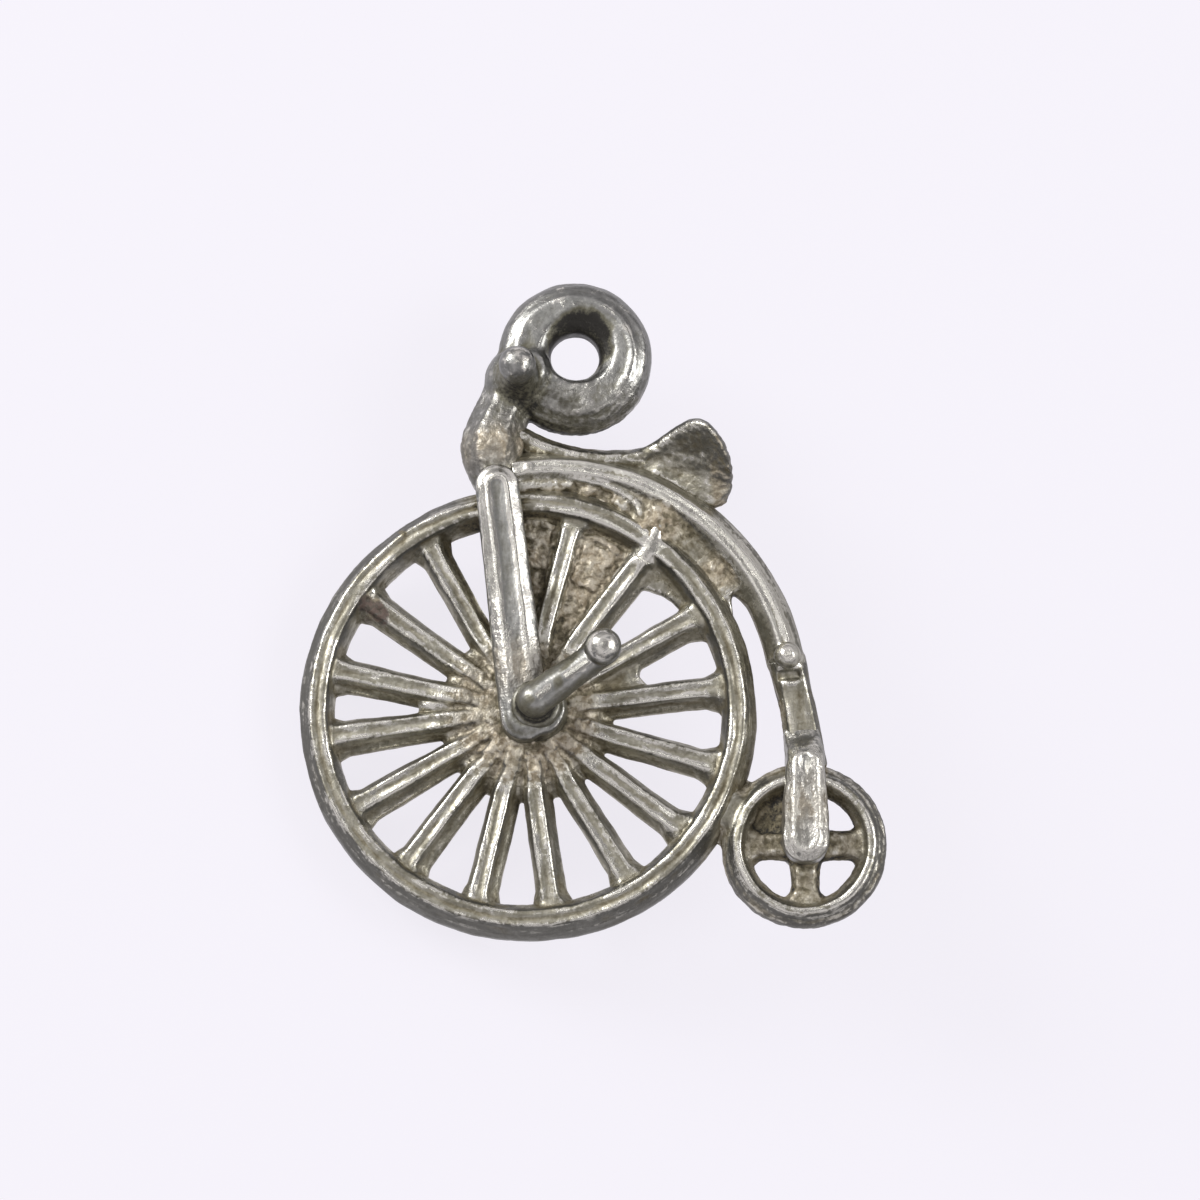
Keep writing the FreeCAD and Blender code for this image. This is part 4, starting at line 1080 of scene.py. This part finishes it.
def neighbour_mean(values, pairs, count):
    """Each point's mean of its neighbours' values."""
    first, second = pairs[:, 0], pairs[:, 1]
    total = np.bincount(first, values[second], count) + np.bincount(second, values[first], count)
    return total / np.maximum(np.bincount(first, minlength=count) + np.bincount(second, minlength=count), 1)


def spread_out(values, pairs, rounds):
    """The values, averaged with their neighbours again and again."""
    for _ in range(rounds):
        values = 0.5 * values + 0.5 * neighbour_mean(values, pairs, len(values))
    return values


def spread_places(places, pairs, rounds):
    """The places, averaged with their neighbours again and again."""
    return np.stack([spread_out(places[:, axis], pairs, rounds) for axis in range(3)], axis=1)


def edge_pairs(mesh):
    """The mesh's edges as pairs of point numbers."""
    flat = np.empty(len(mesh.edges) * 2, np.int32)
    mesh.edges.foreach_get("vertices", flat)
    return flat.reshape(-1, 2)


def directions(count):
    """So many directions, spread evenly over a ball."""
    turn = math.pi * (3 - math.sqrt(5))
    heights = [1 - (2 * number + 1) / count for number in range(count)]
    return [Vector((math.sqrt(1 - height * height) * math.cos(turn * number),
                    math.sqrt(1 - height * height) * math.sin(turn * number), height))
            for number, height in enumerate(heights)]


class CHARM_OT_tarnish(bpy.types.Operator):
    """Work out where wear keeps the silver bright and where tarnish gathers"""

    bl_idname = "charm.tarnish"
    bl_label = "Wear and Tarnish"

    def execute(self, context):
        points, faces = [], []
        for piece in castings:
            start = len(points)
            points.extend(vertex.co for vertex in piece.data.vertices)
            faces.extend([corner + start for corner in face.vertices] for face in piece.data.polygons)
        metal = BVHTree.FromPolygons(points, faces)
        rays = directions(RAYS)
        upward = (LEAN @ Vector((0, 0, 1))).normalized()
        for piece in castings:
            mesh = piece.data
            pairs, count = edge_pairs(mesh), len(mesh.vertices)
            places, outward = places_and_normals(mesh)
            openness = np.empty(count)
            for number, vertex in enumerate(mesh.vertices):
                normal = vertex.normal
                start = vertex.co + normal * (RAY_START * MM)
                reached = weight = 0.0
                for ray in rays:
                    facing = normal.dot(ray)
                    if facing > GRAZING:
                        weight += facing
                        if metal.ray_cast(start, ray, REACH * MM)[0] is None:
                            reached += facing
                openness[number] = reached / weight
            openness = spread_out(openness, pairs, 4)
            smooth = spread_places(places, pairs, 7)
            bulge = ((places - smooth) * outward).sum(1) / MM
            swell = ((places - spread_places(smooth, pairs, 25)) * outward).sum(1) / MM
            give_points(mesh, openness=openness, facing=np.abs(outward @ np.array(upward)),
                        ridge=np.clip(0.5 + spread_out(20 * bulge + 6 * swell, pairs, 3), 0, 1))
        return {"FINISHED"}


# -------- silver
def add_node(tree, kind, inputs=None, **settings):
    """Add a node with its settings, and set or link its inputs."""
    node = tree.nodes.new(kind)
    for setting, value in settings.items():
        setattr(node, setting, value)
    for socket, value in (inputs or {}).items():
        if isinstance(value, bpy.types.NodeSocket):
            tree.links.new(value, node.inputs[socket])
        else:
            node.inputs[socket].default_value = value
    return node


def new_tree(owner):
    """The empty node tree of a material or a world."""
    owner.use_nodes = True
    owner.node_tree.nodes.clear()
    return owner.node_tree


def worked_out(tree, operation, *values, clamp=False):
    """Values worked out one after another, such as a sum or a product."""
    result = values[0]
    for value in values[1:]:
        result = add_node(tree, "ShaderNodeMath", {0: result, 1: value}, operation=operation,
                          use_clamp=clamp).outputs[0]
    return result


def carried(tree, value, low, high, to_low=0.0, to_high=1.0):
    """The value carried from one range to another, with soft ends."""
    return add_node(tree, "ShaderNodeMapRange", {"Value": value, "From Min": low, "From Max": high,
                                                 "To Min": to_low, "To Max": to_high},
                    interpolation_type="SMOOTHSTEP").outputs["Result"]


def silver(name, bare, skin, streakiness, rough_low, rough_high, tarnished, walls):
    """Cast sterling silver: bright where it is rubbed, olive brown where tarnish gathers, and on some
    castings painted shade, painted dark reflections and painted highlights.

    Silver reflects nearly all light, so its finish comes from how evenly it is rubbed: the roughness
    runs from the rubbed ridges' to the bare faces'. bare names those faces' colour and skin the
    tarnish's, streakiness is how far the streaks differ, tarnished moves the tarnish over the open
    faces, and walls is how strongly the outer slopes take the wall colour, which stands for their
    dullness and for a painted dark reflection.
    """
    finish = bpy.context.scene.charm_finish
    material = bpy.data.materials.new(name)
    tree = new_tree(material)
    add, multiply, subtract = (partial(worked_out, tree, operation)
                               for operation in ("ADD", "MULTIPLY", "SUBTRACT"))
    ramp = partial(carried, tree)
    place = add_node(tree, "ShaderNodeTexCoord").outputs["Object"]
    per_mm = add_node(tree, "ShaderNodeMapping", {"Vector": place, "Scale": (1 / MM, 1 / MM, 1 / MM)})
    per_mm = per_mm.outputs["Vector"]
    along = add_node(tree, "ShaderNodeAttribute", attribute_name="flow").outputs["Vector"]
    openness, ridges, facing, grainy, stain, dirt = (
        add_node(tree, "ShaderNodeAttribute", attribute_name=attribute).outputs["Fac"]
        for attribute in ("openness", "ridge", "facing", "grainy", "stain", "dirt"))

    def pattern(where, size, detail, distortion=0.0):
        """Noise with swellings of a size in millimetres."""
        return add_node(tree, "ShaderNodeTexNoise", {
            "Vector": where, "Scale": 1 / size, "Detail": detail, "Roughness": 0.52,
            "Distortion": distortion}).outputs["Fac"]

    def flat(shade):
        """One of the finish's colours."""
        return (*getattr(finish, shade), 1)

    def blend(share, first, second):
        """A mix of two colours."""
        return add_node(tree, "ShaderNodeMix", {0: share, 6: first, 7: second},
                        data_type="RGBA").outputs[2]

    def streaky(shade):
        """One of the finish's colours, streaked with its dim one."""
        return blend(lightness, flat(shade + "_dim"), flat(shade))

    # streaks run along the bars, and a fine mottle and pits lie over them
    patches, mottle = pattern(per_mm, 1.1, 3, 0.4), pattern(per_mm, 0.16, 3, 0.5)
    streaks, pits = pattern(along, 0.26, 4, 0.3), pattern(per_mm, 0.07, 2)
    grain = add(multiply(streaks, 0.6), multiply(mottle, 0.4))
    # smooth parts are more even
    grain = add(0.5, multiply(subtract(grain, 0.5), ramp(grainy, 0.0, 0.3, 0.5, 1.0)))
    lightness = ramp(grain, 0.36, 0.64, 0.5 - 0.5 * streakiness, 0.5 + 0.5 * streakiness)
    # the outer slopes take the wall colour: their dullness, and a painted dark reflection
    slope = multiply(ramp(add(facing, ramp(grain, 0.35, 0.65, -0.08, 0.08)), 0.92, 0.6),
                     ramp(openness, 0.62, 0.88), ramp(stain, -0.1, -0.6, 1.0, 0.3))
    # tarnish gathers where metal stands close and in hollows; a casting's stain adds painted shade and
    # painted dark reflections here as well
    shelter = add(ramp(openness, 0.3, 0.85, 0.75, 0.0), ramp(facing, 0.2, 0.7, 0.25, 0.0), stain,
                  ramp(ridges, 0.3, 0.75, 0.4, -0.4), ramp(grain, 0.35, 0.65, 0.22, -0.22),
                  ramp(patches, 0.35, 0.65, -0.12 + tarnished, 0.12 + tarnished))
    dull = ramp(shelter, 0.1, 1.05)
    black = ramp(add(shelter, ramp(pits, 0.35, 0.7, -0.15, 0.2)), 0.95, 1.7)
    # wear keeps the ridges bright, and a casting's stain adds painted highlights here as well
    worn_and_highlit = add(subtract(ridges, multiply(stain, 0.6)), ramp(mottle, 0.35, 0.65, -0.15, 0.15),
               ramp(streaks, 0.3, 0.7, -0.3, 0.3))
    worn_and_highlit = multiply(ramp(worn_and_highlit, 0.6, 0.9), ramp(facing, 0.45, 0.8), ramp(grainy, 0.3, 1.0, 1.0, 0.12))
    gold = multiply(ramp(grainy, 0.2, 0.9), ramp(patches, 0.35, 0.6, 0.45, 0.95), clamp=True)
    dirty = multiply(dirt, ramp(mottle, 0.35, 0.6, 0.8, 1.0))

    colour_out = blend(gold, streaky(bare), streaky("golden"))
    cracked = blend(ramp(mottle, 0.42, 0.54), flat("dirt_dim"), flat("dirt"))
    for share, over in ((multiply(slope, walls), flat("wall_and_dark_reflection")), (dull, streaky(skin)),
                        (multiply(worn_and_highlit, 0.95), flat("rubbed")), (black, flat("deep")), (dirty, cracked)):
        colour_out = blend(share, colour_out, over)

    roughness = add(ramp(worn_and_highlit, 0.0, 1.0, rough_high, rough_low), ramp(dull, 0.0, 1.0, 0.0, 0.12),
                    multiply(dirty, 0.2), ramp(grainy, 0.1, 1.0, 0.0, 0.15),
                    ramp(grain, 0.35, 0.65, 0.08, -0.08), clamp=True)
    # a thick skin of tarnish scatters light as stone does
    bare_metal = subtract(1.0, multiply(0.4, add(dull, gold)), dirty, clamp=True)
    relief = add(grain, multiply(pits, ramp(grainy, 0.0, 0.8, 0.1, 0.6)))
    relief = add_node(tree, "ShaderNodeBump", {"Height": relief, "Strength": 0.7, "Distance": 0.06 * MM})
    shader = add_node(tree, "ShaderNodeBsdfPrincipled", {
        "Base Color": colour_out, "Roughness": roughness, "Metallic": bare_metal,
        "Normal": relief.outputs["Normal"]})
    add_node(tree, "ShaderNodeOutputMaterial", {"Surface": shader.outputs["BSDF"]})
    return material


# slot of the record: its bare faces' colour, its tarnish's, how streaky it is, roughness on ridges and
# on faces, more tarnish, and how strongly its walls take the wall colour, which paints their dullness and a
# painted dark reflection
SILVERS = {
    "polished_silver": ("polished", "grey", 0.6, 0.24, 0.34, -0.05, 0.6),
    "cast_silver": ("cast", "tarnish", 0.95, 0.28, 0.42, 0.0, 0.85),
}


class CHARM_OT_silver(bpy.types.Operator):
    """Give each casting its silver"""

    bl_idname = "charm.silver"
    bl_label = "Silver"

    def execute(self, context):
        made = {slot: silver(slot, *values) for slot, values in SILVERS.items()}
        for piece in castings:
            piece.data.materials.clear()
            piece.data.materials.append(made[piece["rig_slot"]])
        return {"FINISHED"}


# -------- stage
SLANT = 9.0  # degrees between the line of sight and the wheels' axle
ROLL = 3.35  # degrees that the charm is turned in the view
AIM = Vector((2.675, 3.765, 0))
VIEW_WIDTH = 40.0
CAMERA_LENS = 200.0
CAMERA_SENSOR = 36.0
LAMP_DISTANCE = 0.26
CARD, CARD_SHADE = "#F7F4FB", "#5A595D"
CARD_GLOW = 0.87


class CHARM_OT_stage(bpy.types.Operator):
    """Set the pale floor, the soft lights and the camera"""

    bl_idname = "charm.stage"
    bl_label = "Stage"

    def execute(self, context):
        scene = context.scene
        scene.view_settings.view_transform = "Standard"
        slant, roll = math.radians(SLANT), math.radians(ROLL)
        right = Vector((math.cos(roll), -math.sin(roll), 0))
        back = Vector((-math.sin(roll) * math.sin(slant), -math.cos(roll) * math.sin(slant),
                       math.cos(slant)))
        upward = back.cross(right)
        turn = LEAN.to_3x3() @ Matrix((right, upward, back)).transposed()
        distance = VIEW_WIDTH * MM * CAMERA_LENS / CAMERA_SENSOR
        camera = bpy.data.cameras.new("camera")
        camera.lens, camera.sensor_width = CAMERA_LENS, CAMERA_SENSOR
        camera.clip_start, camera.clip_end = 0.005, 10
        viewer, aim = add_object("camera", camera), LAID @ AIM
        viewer.matrix_world = Matrix.Translation(aim + turn @ Vector((0, 0, distance))) @ turn.to_4x4()
        scene.camera = viewer

        form = bmesh.new()
        bmesh.ops.create_grid(form, x_segments=1, y_segments=1, size=2.0)
        floor = add_object("floor", mesh_of(form, "floor"))
        floor.data.materials.append(self.card())

        # name, direction from the charm in the view's own right, up and back, size and power
        for name, way, size, power in (("key", (-0.75, 0.65, 0.65), 0.12, 0.55),
                                       ("side", (0.85, 0.1, 0.5), 0.12, 0.25),
                                       ("top", (0.0, 0.25, 1.0), 0.05, 0.02)):
            light = bpy.data.lights.new(name, "AREA")
            light.shape, light.size, light.energy = "SQUARE", size, power
            toward = (turn @ Vector(way)).normalized()
            add_object(name, light).matrix_world = (Matrix.Translation(aim + toward * LAMP_DISTANCE)
                                                    @ toward.to_track_quat("Z", "Y").to_matrix().to_4x4())
        scene.world = bpy.data.worlds.new("room")
        tree = new_tree(scene.world)
        way = add_node(tree, "ShaderNodeTexCoord").outputs["Generated"]
        height = add_node(tree, "ShaderNodeSeparateXYZ", {"Vector": way}).outputs["Z"]
        # a soft white band half way up, under a dim ceiling and over a dim horizon
        level = worked_out(tree, "MULTIPLY", carried(tree, height, 0.15, 0.6, 0.22, 0.75),
                           carried(tree, height, 0.8, 0.97, 1.0, 0.3))
        seen = add_node(tree, "ShaderNodeLightPath").outputs["Is Camera Ray"]
        strength = add_node(tree, "ShaderNodeMix", {0: seen, 2: level, 3: 1.0},
                            data_type="FLOAT").outputs[0]
        shader = add_node(tree, "ShaderNodeBackground", {"Color": (*linear(CARD), 1), "Strength": strength})
        add_node(tree, "ShaderNodeOutputWorld", {"Surface": shader.outputs["Background"]})
        return {"FINISHED"}

    def card(self):
        """Smooth pale card, lit evenly, that keeps a faint shadow."""
        material = bpy.data.materials.new("pale_card")
        tree, tint = new_tree(material), (*linear(CARD), 1)
        path = add_node(tree, "ShaderNodeLightPath").outputs
        seen = worked_out(tree, "MAXIMUM", *(path[f"Is {kind} Ray"]
                                             for kind in ("Camera", "Glossy", "Transmission")))
        glow = add_node(tree, "ShaderNodeEmission", {"Color": tint, "Strength": CARD_GLOW})
        matt = add_node(tree, "ShaderNodeBsdfDiffuse", {"Color": (*linear(CARD_SHADE), 1)})
        lit = add_node(tree, "ShaderNodeAddShader", {0: glow.outputs[0], 1: matt.outputs[0]})
        plain = add_node(tree, "ShaderNodeBsdfDiffuse", {"Color": tint})
        mixed = add_node(tree, "ShaderNodeMixShader", {0: seen, 1: plain.outputs[0], 2: lit.outputs[0]})
        add_node(tree, "ShaderNodeOutputMaterial", {"Surface": mixed.outputs[0]})
        return material


# -------- panel and run
STEPS = (CHARM_OT_front_wheel, CHARM_OT_rear_wheel, CHARM_OT_head, CHARM_OT_fork_legs, CHARM_OT_cranks,
         CHARM_OT_backbone, CHARM_OT_saddle, CHARM_OT_rear_fork, CHARM_OT_tarnish, CHARM_OT_silver,
         CHARM_OT_stage)


class CHARM_PT_panel(bpy.types.Panel):
    """The charm's sizes, colours and steps"""

    bl_label = "Penny Farthing Charm"
    bl_space_type = "VIEW_3D"
    bl_region_type = "UI"
    bl_category = "Charm"

    def draw(self, context):
        for group in (context.scene.charm_sizes, context.scene.charm_finish):
            for name in group.bl_rna.properties.keys():
                if name not in ("rna_type", "name"):
                    self.layout.prop(group, name)
        for operator in STEPS:
            self.layout.operator(operator.bl_idname)


CLASSES = (CharmSizes, CharmFinish, *STEPS, CHARM_PT_panel)


def register():
    for item in CLASSES:
        bpy.utils.register_class(item)
    bpy.types.Scene.charm_sizes = PointerProperty(type=CharmSizes)
    bpy.types.Scene.charm_finish = PointerProperty(type=CharmFinish)


def unregister():
    del bpy.types.Scene.charm_finish
    del bpy.types.Scene.charm_sizes
    for item in reversed(CLASSES):
        bpy.utils.unregister_class(item)


def main():
    register()
    for operator in STEPS:
        group, name = operator.bl_idname.split(".")
        getattr(getattr(bpy.ops, group), name)()


if __name__ == "__main__":
    main()
